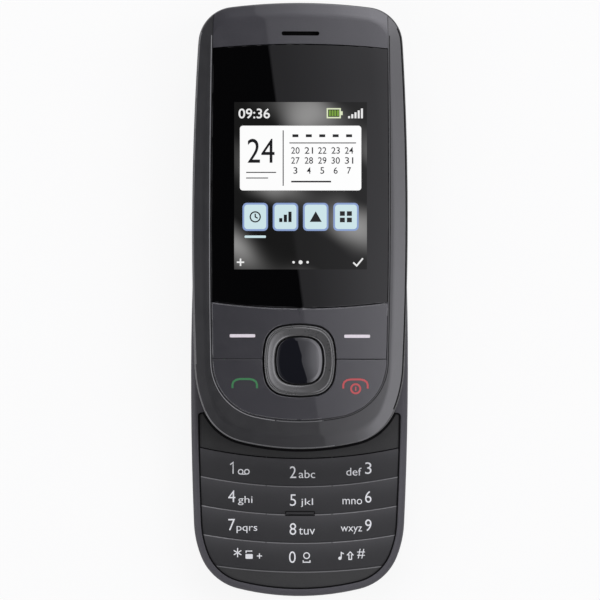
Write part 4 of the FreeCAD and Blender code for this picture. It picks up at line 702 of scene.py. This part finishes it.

# The slider's inlay, from the earpiece panel past the window and round the front keys, is set off
# from the frame by a dark joint and an edge with a painted highlight on the left and painted shade on the
# right.
call_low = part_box("call_key")[0]
around_inlay = even(edge_beside("slider_frame", 0.2 * MM, 0.6 * MM, Vector((0.0, call_low.y))))
panel_low, panel_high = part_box("earpiece_panel")
inlay_paths = {"left": ([p for p in around_inlay if p.x < FADING], edge_light),
               "foot": ([p for p in around_inlay if FADING <= p.x < LIT_END], key_edge),
               "right": ([p for p in around_inlay if p.x >= LIT_END], joint_and_shade_black)}
# the earpiece panel's side seams: a painted highlight on the left, painted shade on the right
for side, name, beside in ((-1, "seam_left", key_edge), (1, "seam_right", joint_and_shade_black)):
    seam_x = side * (panel_high.x + SEAM_GAP)
    seam = even([Vector((seam_x, panel_low.y + SEAM_FOOT)), Vector((seam_x, panel_high.y))])
    on_head = [p for p in seam if (height("slider_frame", p.x, p.y) or 0.0) > HEAD_LEVEL]
    inlay_paths[name] = (on_head[::side], beside)
for name, (path, beside) in inlay_paths.items():
    trace("inlay_joint_" + name, path, INLAY_JOINT, "slider_frame", joint_and_shade_black, "slider")
    trace("inlay_edge_" + name, path, INLAY_EDGE, "slider_frame", beside, "slider")

# The keypad lies in its recess with a black lip all round, just over the keys.
panel_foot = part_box("keypad_panel")[0]
around_keypad = edge_beside("base_front_housing", 0.3 * MM, 0.3 * MM, Vector((0.0, panel_foot.y)))
keys_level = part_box("key_2")[1].z
lip("keypad_lip", even(around_keypad), (-0.30, 0.32), keys_level + 0.02 * MM,
    keys_level + 0.05 * MM, "base")


# ---- edges of keys

FRONT_EDGE = (0.13, 0.20)
FRONT_RAYS = 480
WALL_STEP = 0.3 * MM  # a wall is looked for this far inside a node's top or foot
KEY_SEAM = (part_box("call_key")[1].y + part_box("soft_key_left")[0].y) / 2
SOFT_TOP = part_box("soft_key_left")[1].y
ROW_EDGE = (0.0, 0.20)
ROW_STEP, ROW_STEPS = 0.2 * MM, 115
KEY_INSET, TRIM_INSET = 0.12 * MM, 0.24 * MM


def shows_edge(point):
    """True where the front keys' outer edges get a painted highlight: not beside the ring, along the seams
    or low on the right.
    """
    lit_side = point.x < LIT_END or point.y > SOFT_TOP - 3.0 * MM
    return (lit_side and abs(point.x) > 0.5 * MM and abs(point.y - KEY_SEAM) > 0.35 * MM
            and (point - RING_MIDDLE).length > 8.7 * MM)


def row_level(radius, x):
    """Where the arc of a radius about the rows' centre stands along Y."""
    return BOW_CENTRE - math.sqrt(radius * radius - x * x)


def row_edge(name, number, inset, material, body):
    """A line a little inside the upper edge of a row of keys, on one node."""
    radius = ROW_START + ROW_PITCH * number + inset
    xs = [ROW_STEP * i for i in range(-ROW_STEPS, ROW_STEPS + 1)]
    bow = [Vector((x, row_level(radius, x))) for x in xs]
    on_node = [p for p in bow if height(name, p.x, p.y) is not None]
    trace("edge_" + name, on_node, ROW_EDGE, name, material, body)


# a painted highlight along the front keys' outer edges
for name in FRONT_KEYS:
    outer_wall = walls(name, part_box(name)[1].z - WALL_STEP, False, FRONT_RAYS)
    trace("edge_" + name, [p for p in outer_wall if shows_edge(p)], FRONT_EDGE, name, edge_light, name)

# A key's upper edge is rolled, and a painted highlight runs all along it, as along the trim's under the last
# row. The first row has a dark joint there.
for number, row in enumerate(KEYPAD):
    for name in row:
        row_edge(name, number, KEY_INSET, key_edge if number else joint_and_shade_black, name)
row_edge("keypad_panel", len(KEYPAD), TRIM_INSET, key_edge, "base")


# ---- webs between keys

WEB_WIDTH = 0.34 * MM
WEB_PARTS = 12
FLUSH = 0.004 * MM
ASIDE = 0.4 * MM
FROM_ROW_TOP, PAST_ROW_FOOT = 0.32 * MM, 0.04 * MM


def web(name, path, rests, aside, material, body):
    """A film across the joint between two keys, level with the one aside from it."""
    bm = bmesh.new()
    band(bm, path, WEB_WIDTH, high=FLUSH)
    lay_on(bm, rests, aside)
    piece("web_" + name, bm, material, body)


# The keymats are one sheet: a film bridges the joints between neighbouring keys.
for number, row in enumerate(KEYPAD):
    upper = ROW_START + ROW_PITCH * number
    for side, name in ((-1, row[0]), (1, row[2])):
        x = side * COLUMN_SEAM
        start = Vector((x, row_level(upper, x) - FROM_ROW_TOP))
        stop = Vector((x, row_level(upper + ROW_PITCH, x) + PAST_ROW_FOOT))
        path = [start.lerp(stop, i / WEB_PARTS) for i in range(WEB_PARTS + 1)]
        web(name, path, row[1], -side * ASIDE, key_black, "base")

# So are the front keys', above and below the ring.
for name, rests, start, stop in (("soft", "soft_key_left", 10.45 * MM, SOFT_TOP - 2.55 * MM),
                                 ("call", "call_key", call_low.y + 0.3 * MM, -5.75 * MM)):
    web(name, [Vector((0.0, start)), Vector((0.0, stop))], rests, -ASIDE, face, "slider")


# ---- ring and select key

ROUND = 48  # degrees between faces that still shade as one on these two
WAIST = 15.4 * MM  # a level at which the ring's walls stand upright
HEAD_WAIST = 15.3 * MM  # the same for the select key's head
HEAD_FOOT, CROWN = 14.95, 15.99  # the select key's levels in mm, as in its profile
DOME = 0.30  # how far its crown would stand over a rim at its wall, in mm
# share of the way from the ring's outer wall to its inner one, and level in mm: a bead, a groove, then
# a dished face
RING_PROFILE = [(0.0, 14.92), (0.0, 15.74), (0.02, 15.84), (0.05, 15.91), (0.085, 15.93), (0.12, 15.90),
                (0.14, 15.83), (0.165, 15.83), (0.19, 15.95), (0.23, 16.05), (0.28, 16.07),
                (0.40, 16.02), (0.55, 15.97), (0.70, 15.935), (0.84, 15.915), (0.90, 15.88),
                (0.95, 15.80), (1.0, 15.64), (1.0, 14.92)]
# share of the way from the select key's middle to its wall, and level in mm: a narrow rim, then a low
# dome
SELECT_PROFILE = [(1.0, HEAD_FOOT), (1.0, 15.50), (0.985, 15.60), (0.965, 15.645), (0.945, 15.655)]
SELECT_PROFILE += [(s / 20, CROWN - DOME * (s / 20) ** 2.2) for s in range(18, 0, -1)]


def lofted(name, rows, node, material):
    """A smooth closed piece in the place of a node."""
    bm = bmesh.new()
    skin(bm, rows, len(rows[0]) > 1)
    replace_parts(piece(name, bm, material, node, ROUND), node)


outer, inner = walls("navi_ring", WAIST, False), walls("navi_ring", WAIST, True)
lofted("ring_dished", [[(*p.lerp(q, t), z * MM) for p, q in zip(outer, inner)] for t, z in RING_PROFILE],
       "navi_ring", ring_satin)

# The select key, from its stem's foot to its crown.
stem_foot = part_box("select_key")[0].z
stem = walls("select_key", stem_foot + WALL_STEP, True)
head = walls("select_key", HEAD_WAIST, True)
rows = [[(*RING_MIDDLE, stem_foot)], [(*p, stem_foot) for p in stem],
        [(*p, HEAD_FOOT * MM) for p in stem]]
rows += [[(*RING_MIDDLE.lerp(p, s), z * MM) for p in head] for s, z in SELECT_PROFILE]
rows += [[(*RING_MIDDLE, CROWN * MM)]]
lofted("select_domed", rows, "select_key", select_gloss)


# ---- the slider's lip and flanks

LIP_TOP = -8.2 * MM  # the lip ends here on both sides, along Y
FOOT_HIGHLIGHT_END = 8 * MM
FLANK_STEPS = 200
FOOT_EDGE = (0.24, 0.15)
FLANKS = [
    # name, side, from and to along Y, line, material
    ("flank_dark_0", 1, LIP_TOP, 74 * MM, (0.14, 0.24), joint_and_shade_black),
    ("flank_dark_1", 1, LIP_TOP, 74 * MM, (0.36, 0.24), joint_and_shade_black),
    ("flank_bright", -1, 1.5 * MM, 73 * MM, (-0.30, 0.24), key_edge),
]
frame_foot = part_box("slider_frame")[0].z
flank_level = frame_foot + 0.8 * MM


def flank(side, low, high):
    """The slider's outline on one side, between two levels along Y."""
    ys = [low + (high - low) * i / FLANK_STEPS for i in range(FLANK_STEPS + 1)]
    inward = Vector((-side, 0.0, 0.0))
    return hits("slider_frame", [(Vector((side * WALL_REACH, y, flank_level)), inward) for y in ys])


# A black lip under the slider's lower end is painted shadow: it darkens the gap over the keypad where the
# slider's shadow falls.
around_foot = [p for p in walls("slider_frame", flank_level, False, 240) if p.y < LIP_TOP]
around_foot.sort(key=lambda p: math.atan2(p.x, RING_MIDDLE.y - p.y))
lip("slider_shadow_lip", around_foot, (-0.18, 0.88), frame_foot - 0.45 * MM, frame_foot - 0.1 * MM,
    "slider")

# The slider's rolled flanks get painted shade on the right and a painted highlight on the left, and its foot
# a painted highlight too.
for name, side, low, high, line, material in FLANKS:
    trace(name, flank(side, low, high), line, "slider_frame", material, "slider")
foot_highlight = [p for p in around_foot if p.x < FOOT_HIGHLIGHT_END]
trace("edge_slider_foot", foot_highlight, FOOT_EDGE, "slider_frame", key_edge, "slider")


# ---- what bends as the phone slides

STRIP = 0.6 * MM
BENDING = {
    # its material and slot, then how much of its fixed end and of its moving end stays straight
    "toggle_springs": (steel, "sheet_steel", 1.1 * MM, 2.1 * MM),
    "flex_cable": (amber, "flex_amber", 0.1 * MM, 0.4 * MM),
}
slide = next(joint for joint in frame["joints"] if joint["name"] == "slider_slide")
for bend in slide["deforming_nodes"]:
    node = bend["node"]
    material, slot, fixed_end, moving_end = BENDING[node]
    fixed, moving = bend["fixed_end_y_m"] + fixed_end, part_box(node)[1].y - moving_end
    bm = bmesh.new()
    bm.from_mesh(nodes[node].data)
    bmesh.ops.remove_doubles(bm, verts=bm.verts[:], dist=MERGE)
    for i in range(math.ceil((moving - fixed) / STRIP)):
        bmesh.ops.bisect_plane(bm, geom=[*bm.verts, *bm.edges, *bm.faces], dist=MERGE,
                               plane_co=(0.0, fixed + STRIP * i, 0.0), plane_no=(0.0, 1.0, 0.0))
    bent = piece("bending_" + node, bm, material, None)
    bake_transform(bent)
    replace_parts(bent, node)


# ---- key legends, in image pixels

WORDS = {
    "key_2": [("2", 289.8, 296.2, 466.5, 478.3), ("abc", 298.8, 315.2, 470.4, 478.3)],
    "key_3": [("def", 346.4, 361.6, 468.0, 475.8), ("3", 365.2, 371.6, 462.5, 474.2)],
    "key_4": [("4", 228.0, 235.2, 490.6, 502.4), ("ghi", 237.9, 252.4, 496.3, 505.4)],
    "key_5": [("5", 289.9, 296.1, 494.6, 506.2), ("jkl", 300.8, 313.0, 498.7, 507.4)],
    "key_6": [("mno", 342.6, 362.2, 499.2, 504.6), ("6", 365.2, 371.6, 491.3, 503.0)],
    "key_7": [("7", 228.2, 235.0, 519.2, 530.8), ("pqrs", 236.5, 257.2, 526.4, 533.4)],
    "key_8": [("8", 289.6, 296.2, 523.4, 535.2), ("tuv", 298.8, 315.0, 528.2, 534.9)],
    "key_9": [("wxyz", 340.8, 362.2, 526.8, 534.2), ("9", 365.2, 371.6, 519.7, 531.4)],
    "key_0": [("0", 289.0, 295.7, 551.7, 563.3)],
    "key_hash": [("#", 357.2, 365.0, 549.2, 558.8)],
}
PICTURES = {
    # the 1, then two reels and their tape
    "key_1": [[(230.0, 465.0), (233.0, 462.6), (233.0, 473.9)], ring(240.6, 472.0, 2.3),
              ring(246.8, 472.0, 2.3), [(240.6, 474.4), (246.8, 474.4)]],
    # a star, a padlock's hasp and a plus
    "key_star": [[(237.5, 548.3), (237.5, 557.6)], [(233.7, 550.8), (241.3, 555.2)],
                 [(233.7, 555.2), (241.3, 550.8)], [(246.0, 553.4), (246.0, 551.4), (252.2, 551.4)],
                 [(256.8, 556.3), (262.0, 556.3)], [(259.4, 553.7), (259.4, 558.9)]],
    # a ring over a space mark
    "key_0": [ring(306.6, 556.0, 2.9), [(303.2, 560.6), (303.2, 562.6), (310.0, 562.6), (310.0, 560.6)]],
    # a note and an arrow
    "key_hash": [[(341.3, 558.4), (341.3, 552.8), (343.8, 554.2)],
                 [(350.3, 552.2), (353.2, 555.2), (351.6, 555.2), (351.6, 559.8), (349.0, 559.8),
                  (349.0, 555.2), (347.4, 555.2), (350.3, 552.2)]],
}
FILLED = {
    # the padlock's body and the note's head
    "key_star": [rounded(245.4, 252.7, 554.4, 559.2, 0.8)],
    "key_hash": [circle(340.0, 558.6, 1.7, 16)],
}
FIVE_BAR = {
    # the dark joint round the raised bar under the 5, whose lower run lies over the next key's edge
    "five_bar_joint": ("key_5", [(285.6, 514.5), (285.6, 512.0), (314.4, 512.0), (314.4, 514.5)], 0.20),
    "five_bar_foot": ("key_8", [(285.1, 515.5), (314.9, 515.5)], 0.28),
}
SOFT_BARS = {"soft_key_left": (229.8, 255.3, 335.7), "soft_key_right": (344.2, 369.9, 336.2)}
SOFT_BAR_HALF, SOFT_BAR_CORNER = 1.6, 0.9
HANDSET = [(232.6, 388.0), (232.6, 384.2), (233.6, 381.6), (236.2, 379.7), (240.0, 378.9),
           (249.6, 378.9), (253.4, 379.7), (256.0, 381.6), (257.0, 384.2), (257.0, 388.0)]
TO_END_KEY = (110.6, 0.4)  # from the call key's handset to the end key's
POWER_RING = ring(355.6, 388.6, 4.6)
POWER_BAR = [(355.6, 386.6), (355.6, 390.6)]

for node in sorted(set(WORDS) | set(PICTURES)):
    mark("legend_" + node, node, ink, "key_black", words=WORDS.get(node, ()),
         lines=[(PEN, PICTURES.get(node, ()))], filled=FILLED.get(node, ()))

five_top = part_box("key_5")[1].z
for name, (node, corners, width) in FIVE_BAR.items():
    path = [Vector(p) for p in on_face(corners)]
    lip(name, path, (0.0, width), five_top - 0.04 * MM, five_top + 0.02 * MM, node)

for node, (x0, x1, y) in SOFT_BARS.items():
    bar = rounded(x0, x1, y - SOFT_BAR_HALF, y + SOFT_BAR_HALF, SOFT_BAR_CORNER)
    mark("bar_" + node, node, bar_ink, "front_key_grey", filled=[bar])

end_handset = [(x + TO_END_KEY[0], y + TO_END_KEY[1]) for x, y in HANDSET]
mark("handset_call_key", "call_key", ink_green, "front_key_grey", lines=[(2.0, [HANDSET])])
mark("handset_end_key", "end_key", ink_red, "front_key_grey",
     lines=[(1.9, [end_handset, POWER_RING]), (1.3, [POWER_BAR])])


# ---- the lit display, in image pixels

LAYER = 0.012 * MM
DAY_WEIGHT, DATE_WEIGHT, CLOCK_WEIGHT = 0.0, 0.006, 0.012
LCD = block(234.3, 366.8, 102.4, 269.4)
CLOCK = ("09:36", 238.6, 270.0, 108.8, 118.8, CLOCK_WEIGHT)
SIGNAL = [block(348.0 + 3.2 * i, 350.0 + 3.2 * i, 116.4 - 1.9 * i, 118.6) for i in range(5)]
PLUS = [[(240.6, 258.6), (240.6, 266.0)], [(236.9, 262.3), (244.3, 262.3)]]
TICK = [(353.2, 262.6), (356.6, 265.8), (362.8, 258.4)]
PAGE_DOTS = [circle(293.6, 262.3, 1.3, 14), circle(300.6, 262.3, 2.0, 16), circle(307.6, 262.3, 1.3, 14)]
CELL_SHELL = [block(326.6, 340.8, 108.4, 118.6), block(340.8, 342.6, 111.6, 115.4)]
CELL_INSIDE = block(328.0, 339.4, 109.8, 117.2)
CELL_LEVEL = [block(328.8 + 2.7 * i, 330.8 + 2.7 * i, 110.6, 116.4) for i in range(4)]
SHEET = rounded(240.0, 361.2, 126.0, 190.6, 3.0)
DAY = ("24", 247.6, 274.6, 139.0, 163.0, DAY_WEIGHT)
SHEET_RULES = [[(283.2, 130.6), (283.2, 186.0)], [(289.4, 143.2), (356.0, 143.2)],
               [(246.2, 172.6), (276.2, 172.6)], [(246.2, 178.2), (268.2, 178.2)]]
SHEET_FOOT = [(291.2, 181.8), (331.0, 181.8)]
WEEKDAYS = [block(292.4 + 13.4 * i, 298.4 + 13.4 * i, 134.6, 137.4) for i in range(5)]
DATE_X, DATE_Y, DATE_ACROSS, DATE_DOWN, DATE_HEIGHT = 295.4, 147.4, 13.4, 10.0, 6.6
WIDE_HALF, NARROW_HALF = 4.2, 2.0  # half widths of two digits and of one
TILES = [242.6 + 30.2 * i for i in range(4)]
TILE_MIDDLE = 12.7
CLOCK_FACE = (TILES[0] + TILE_MIDDLE, 217.0)
glass_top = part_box("display_window")[1].z


def picture(name, material, index, **parts):
    """A part of the display's picture in one of its thin layers, the first just sunk in the window."""
    low = glass_top + LAYER * index
    bm = drawn(low=low - 0.2 * LAYER, high=low + LAYER, **parts)
    piece(name, bm, material, "slider")


def dates():
    """Three weeks of five days, the last of them in the next month."""
    found = []
    for row, monday in enumerate((20, 27, 3)):
        half = WIDE_HALF if monday > 9 else NARROW_HALF
        for column in range(5):
            x, y = DATE_X + DATE_ACROSS * column, DATE_Y + DATE_DOWN * row
            found.append((str(monday + column), x - half, x + half, y, y + DATE_HEIGHT, DATE_WEIGHT))
    return found


def tile_figures():
    """Bars on the second tile, an arrowhead on the third and four squares on the last."""
    bars_left = TILES[1] + 6.4
    found = [block(bars_left + 4.6 * i, bars_left + 4.6 * i + 3.2, 222.2 - rise, 222.2)
             for i, rise in enumerate((4.0, 7.4, 10.4))]
    x = TILES[2] + TILE_MIDDLE
    found.append([(x, 211.4), (x - 6.0, 222.0), (x + 6.0, 222.0)])
    for row in range(2):
        for column in range(2):
            left, top = TILES[3] + 6.6 + 7.0 * column, 211.4 + 6.4 * row
            found.append(block(left, left + 5.0, top, top + 4.6))
    return found


picture("screen_page", wallpaper(), 0, filled=[LCD])

# the status line and the line of choices at the foot
picture("screen_status", screen_text, 1, words=[CLOCK], lines=[(1.6, [*PLUS, TICK])],
        filled=SIGNAL + PAGE_DOTS)
picture("screen_battery_shell", screen_pale_green, 1, filled=CELL_SHELL)
picture("screen_battery_cells", screen_dark, 2, filled=[CELL_INSIDE])
picture("screen_battery_level", screen_green, 3, filled=CELL_LEVEL)

# a sheet with a day's number and its weeks, as on a desk calendar
picture("screen_sheet", screen_white, 1, filled=[SHEET])
picture("screen_sheet_marks", screen_dark, 2, words=[DAY, *dates()],
        lines=[(1.0, SHEET_RULES), (1.6, [SHEET_FOOT])], filled=WEEKDAYS)

# a row of four tiles, each with a plain figure
clock_x, clock_y = CLOCK_FACE
clock_hands = [(clock_x, clock_y - 3.2), (clock_x, clock_y), (clock_x + 2.5, clock_y + 1.4)]
picture("screen_tile_edges", screen_edge, 1, filled=[rounded(x, x + 25.4, 203.0, 231.0, 4.4) for x in TILES])
picture("screen_tiles", screen_blue, 2,
        filled=[rounded(x + 1.8, x + 23.6, 204.8, 229.2, 3.2) for x in TILES])
picture("screen_tile_marks", screen_dark, 3, lines=[(1.3, [ring(*CLOCK_FACE, 5.0), clock_hands])],
        filled=tile_figures())
picture("screen_choice", screen_blue, 1,
        filled=[rounded(TILES[0] + 2.0, TILES[0] + 23.4, 235.6, 238.0, 1.0)])


# ---- small parts seen from behind

CAMERA_RING = [(2.3, -0.02), (2.6, -0.02), (2.6, 0.02), (2.3, 0.02)]  # radius and level in mm
CAMERA_EYE = [(0.0, -0.03), (0.7, -0.028), (1.3, -0.01), (1.5, 0.02), (0.0, 0.02)]
LENS_POINTS = 48
CONTACT_PITCH, CONTACT_WIDTH, CONTACT_DEPTH = 2.4 * MM, 0.7 * MM, 0.75 * MM
SIM_PAD, SIM_PITCH = (4.3 * MM, 2.2 * MM), (4.6 * MM, 2.5 * MM)
SIM_CORNER = (9.0 * MM, 2.6 * MM)  # the first pad's corner, from the card's
SIGN_HALF, LABEL_HALF = 0.25 * MM, 0.02 * MM


def turned(name, profile, material):
    """A body turned about the camera window's middle line; profile runs (radius, level) from its face."""
    low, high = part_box("camera_window")
    x, y = (low.x + high.x) / 2, (low.y + high.y) / 2
    rows = []
    for radius, level in profile:
        around = circle(x, y, radius * MM, LENS_POINTS) if radius else [(x, y)]
        rows.append([(*p, low.z + level * MM) for p in around])
    bm = bmesh.new()
    skin(bm, rows, len(rows[0]) > 1)
    piece(name, bm, material, "base")


def plates(name, outlines, low, high, material, slot):
    """Flat plates on the base, between two levels."""
    bm = bmesh.new()
    for outline in outlines:
        prism(bm, outline, low, high)
    piece(name, bm, material, "base")


turned("camera_print_ring", CAMERA_RING, spun)
turned("camera_eye", CAMERA_EYE, eye_glass)

holder_low, holder_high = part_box("battery_connector")
contact_y = holder_low.y + 0.12 * MM
contact_xs = [(holder_low.x + holder_high.x) / 2 + CONTACT_PITCH * n for n in (-1, 0, 1)]
plates("battery_contacts", [block(x - CONTACT_WIDTH / 2, x + CONTACT_WIDTH / 2, contact_y,
                                  contact_y + CONTACT_DEPTH) for x in contact_xs],
       holder_low.z + 0.4 * MM, holder_low.z + 1.9 * MM, gold, "copper")

sim_low, sim_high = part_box("sim_card")
pads = [(sim_low.x + SIM_CORNER[0] + SIM_PITCH[0] * column, sim_low.y + SIM_CORNER[1] + SIM_PITCH[1] * row)
        for column in range(2) for row in range(4)]
plates("sim_contacts", [block(x, x + SIM_PAD[0], y, y + SIM_PAD[1]) for x, y in pads],
       sim_high.z - 0.005 * MM, sim_high.z + 0.02 * MM, gold, "copper")

cell_low, cell_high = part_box("battery")
label = (cell_low.z - LABEL_HALF, cell_low.z + LABEL_HALF)
label_top = cell_high.y - 6 * MM
plates("battery_label_plate", [block(cell_low.x + 2 * MM, cell_high.x - 2 * MM, cell_low.y + 4 * MM,
                                     label_top)], *label, paper, "battery_label")

# a plus and a minus over the label, by the contacts
plus_x, minus_x = cell_high.x - 4.8 * MM, cell_high.x - 11.8 * MM
across_y = label_top + 2.4 * MM
signs = [block(x - 1.2 * MM, x + 1.2 * MM, across_y - SIGN_HALF, across_y + SIGN_HALF)
         for x in (plus_x, minus_x)]
signs += [block(plus_x - SIGN_HALF, plus_x + SIGN_HALF, label_top + y, label_top + y + 0.9 * MM)
          for y in (1.2 * MM, 2.7 * MM)]
plates("battery_signs", signs, *label, ink, "battery_label")


# ---- stage, light and camera

FLOOR = -0.02 * MM
FLOOR_REACH = 3.0
FLOOR_WHITE = 0.88  # how much of the floor is plain white to the camera; the rest takes shadow
WORLD_LIGHT = 0.32
PANEL_ABOVE = 0.12  # the studio panel's level over the window
PANEL_REACH = 0.40
LINE_HEAD, LINE_FOOT = (267.6, 36.0), (303.2, 306.0)  # the lit part's edge, as the window mirrors it
STEP_DARK, STEP_LIT, STEP_HALF = 0.02, 0.50, 0.3 * MM
STUDIO_TINT = (1.0, 0.988, 1.05)
# strengths across the panel, by the distance to the right of that line, and along it, by Y
GLOW_SIDES = [(-0.40, 2.4), (-0.17, 2.2), (-0.125, 1.2), (-0.09, 0.4), (-0.06, 0.10), (-0.04, 0.0),
              (0.002, 0.0), (0.010, 0.34), (0.0165, 0.72), (0.022, 0.90), (0.028, 1.60), (0.036, 2.2),
              (0.080, 2.1), (0.098, 0.4), (0.115, 0.0), (0.40, 0.0)]
GLOW_ALONG = [(-0.40, 0.9), (-0.03, 0.9), (0.017, 0.95), (0.041, 0.72), (0.066, 0.52), (0.080, 0.60),
              (0.11, 1.1), (0.40, 0.8)]
SOFTBOXES = {
    # its place, what it is aimed at, its size and its power
    "box_right": ((0.85, 0.15, 0.75), (0, 0.02, 0), (0.7, 0.9), 4.0),
    "box_head": ((0.05, 0.95, 0.7), (0, 0.02, 0), (0.9, 0.6), 5.6),
    "box_left": ((-0.9, -0.05, 0.6), (0, 0.02, 0), (0.5, 0.7), 1.6),
    "box_foot": ((-0.1, -0.9, 0.7), (0, -0.02, 0), (0.8, 0.4), 1.5),
}
SENSOR = 36.0


def stage_plane(name, reach, level, material, **seen):
    """A square plane that isn't part of the object, and the rays that see it or don't."""
    mesh = bpy.data.meshes.new(name)
    corners = [(*p, level) for p in block(-reach, reach, -reach, reach)]
    mesh.from_pydata(corners, [], [(0, 1, 2, 3)])
    mesh.materials.append(material)
    plane = bpy.data.objects.new(name, mesh)
    scene.collection.objects.link(plane)
    for ray, on in seen.items():
        setattr(plane, "visible_" + ray, on)


def pale_to_camera(g, shaded, kind, share):
    """Mix a shaded surface with plain white where the camera, a gloss or a glass looks at it."""
    rays = g.new("LightPath").outputs
    seen = rays["Is Camera Ray"]
    for ray in ("Is Glossy Ray", "Is Transmission Ray"):
        seen = g.math("MAXIMUM", seen, rays[ray])
    white = g.new(kind, Color=(1.0, 1.0, 1.0), Strength=1.0)
    mix = g.new("MixShader", Fac=g.times(seen, share))
    feed(mix.inputs[1], shaded)
    feed(mix.inputs[2], white.outputs[0])
    fill(g.output, Surface=mix.outputs["Shader"])


def curve_of(g, source, stops):
    """A value read from a list of (place, value) stops along the panel."""
    ramp = g.new("ValToRGB", Fac=g.range(source, 0.0, 1.0, -PANEL_REACH, PANEL_REACH))
    peak = max(value for _, value in stops)
    bands = ramp.color_ramp.elements
    while len(bands) < len(stops):
        bands.new(0.5)
    for element, (at, value) in zip(bands, stops):
        element.position = (at + PANEL_REACH) / (PANEL_REACH * 2)
        element.color = (value / peak, value / peak, value / peak, 1.0)
    return g.times(ramp.outputs["Color"], peak)


def studio_panel():
    """A panel low over the phone, seen only in its gloss.

    It is dark on the left of a slanting line and lit on the right of it.
    """
    mirrored = 1 + PANEL_ABOVE / (FAR - glass_top)
    head, foot = (AIM.xy + (Vector(from_image(*p)) - AIM.xy) * mirrored for p in (LINE_HEAD, LINE_FOOT))
    slant = (foot - head).normalized()
    right = Vector((-slant.y, slant.x))
    g = Surface("panel_cloth")
    g.tree.nodes.remove(g.shader)
    across = g.plus(*(g.times(g.axes[k], d) for k, d in zip("XY", right)))
    from_line = g.math("SUBTRACT", across, head.dot(right))
    step = g.range(from_line, STEP_DARK, STEP_LIT, -STEP_HALF, STEP_HALF)
    glow = g.math("MULTIPLY_ADD", curve_of(g, from_line, GLOW_SIDES), curve_of(g, g.axes["Y"], GLOW_ALONG),
                  step)
    light = g.new("Emission", Color=STUDIO_TINT, Strength=glow)
    fill(g.output, Surface=light.outputs["Emission"])
    stage_plane("studio_panel", PANEL_REACH, glass_top + PANEL_ABOVE, g.material, camera=False,
                diffuse=False, shadow=False, transmission=False)


def softbox(name, place, aim, size, power):
    light = bpy.data.lights.new(name, "AREA")
    light.shape = "RECTANGLE"
    light.size, light.size_y = size
    light.energy = power
    light.color = STUDIO_TINT
    lamp = bpy.data.objects.new(name, light)
    lamp.location = place
    lamp.rotation_mode = "QUATERNION"
    lamp.rotation_quaternion = (Vector(aim) - Vector(place)).to_track_quat("-Z", "Y")
    lamp.visible_camera = False
    scene.collection.objects.link(lamp)


floor = Surface("floor_white")
floor.dress(Base_Color=(0.92, 0.92, 0.92), Roughness=0.9, Specular_IOR_Level=0.1)
pale_to_camera(floor, floor.shader.outputs["BSDF"], "Emission", FLOOR_WHITE)
stage_plane("floor", FLOOR_REACH, FLOOR, floor.material)

world = bpy.data.worlds.new("studio")
scene.world = world
world.use_nodes = True
soft = world.node_tree.nodes["Background"]
fill(soft, Color=(0.97, 0.98, 1.0), Strength=WORLD_LIGHT)
pale_to_camera(Graph(world.node_tree), soft.outputs["Background"], "Background", 1.0)

studio_panel()
for name, settings in SOFTBOXES.items():
    softbox(name, *settings)

camera_data = bpy.data.cameras.new("camera")
camera_data.sensor_width = SENSOR
camera_data.lens = SENSOR * (FAR - AIM.z) / (IMAGE_WIDTH / SCALE)
camera_data.clip_start = 0.1
camera_data.clip_end = 20.0
camera = bpy.data.objects.new("camera", camera_data)
camera.location = (AIM.x, AIM.y, FAR)
camera.rotation_euler = (0.0, 0.0, ROLL)
scene.collection.objects.link(camera)
scene.camera = camera
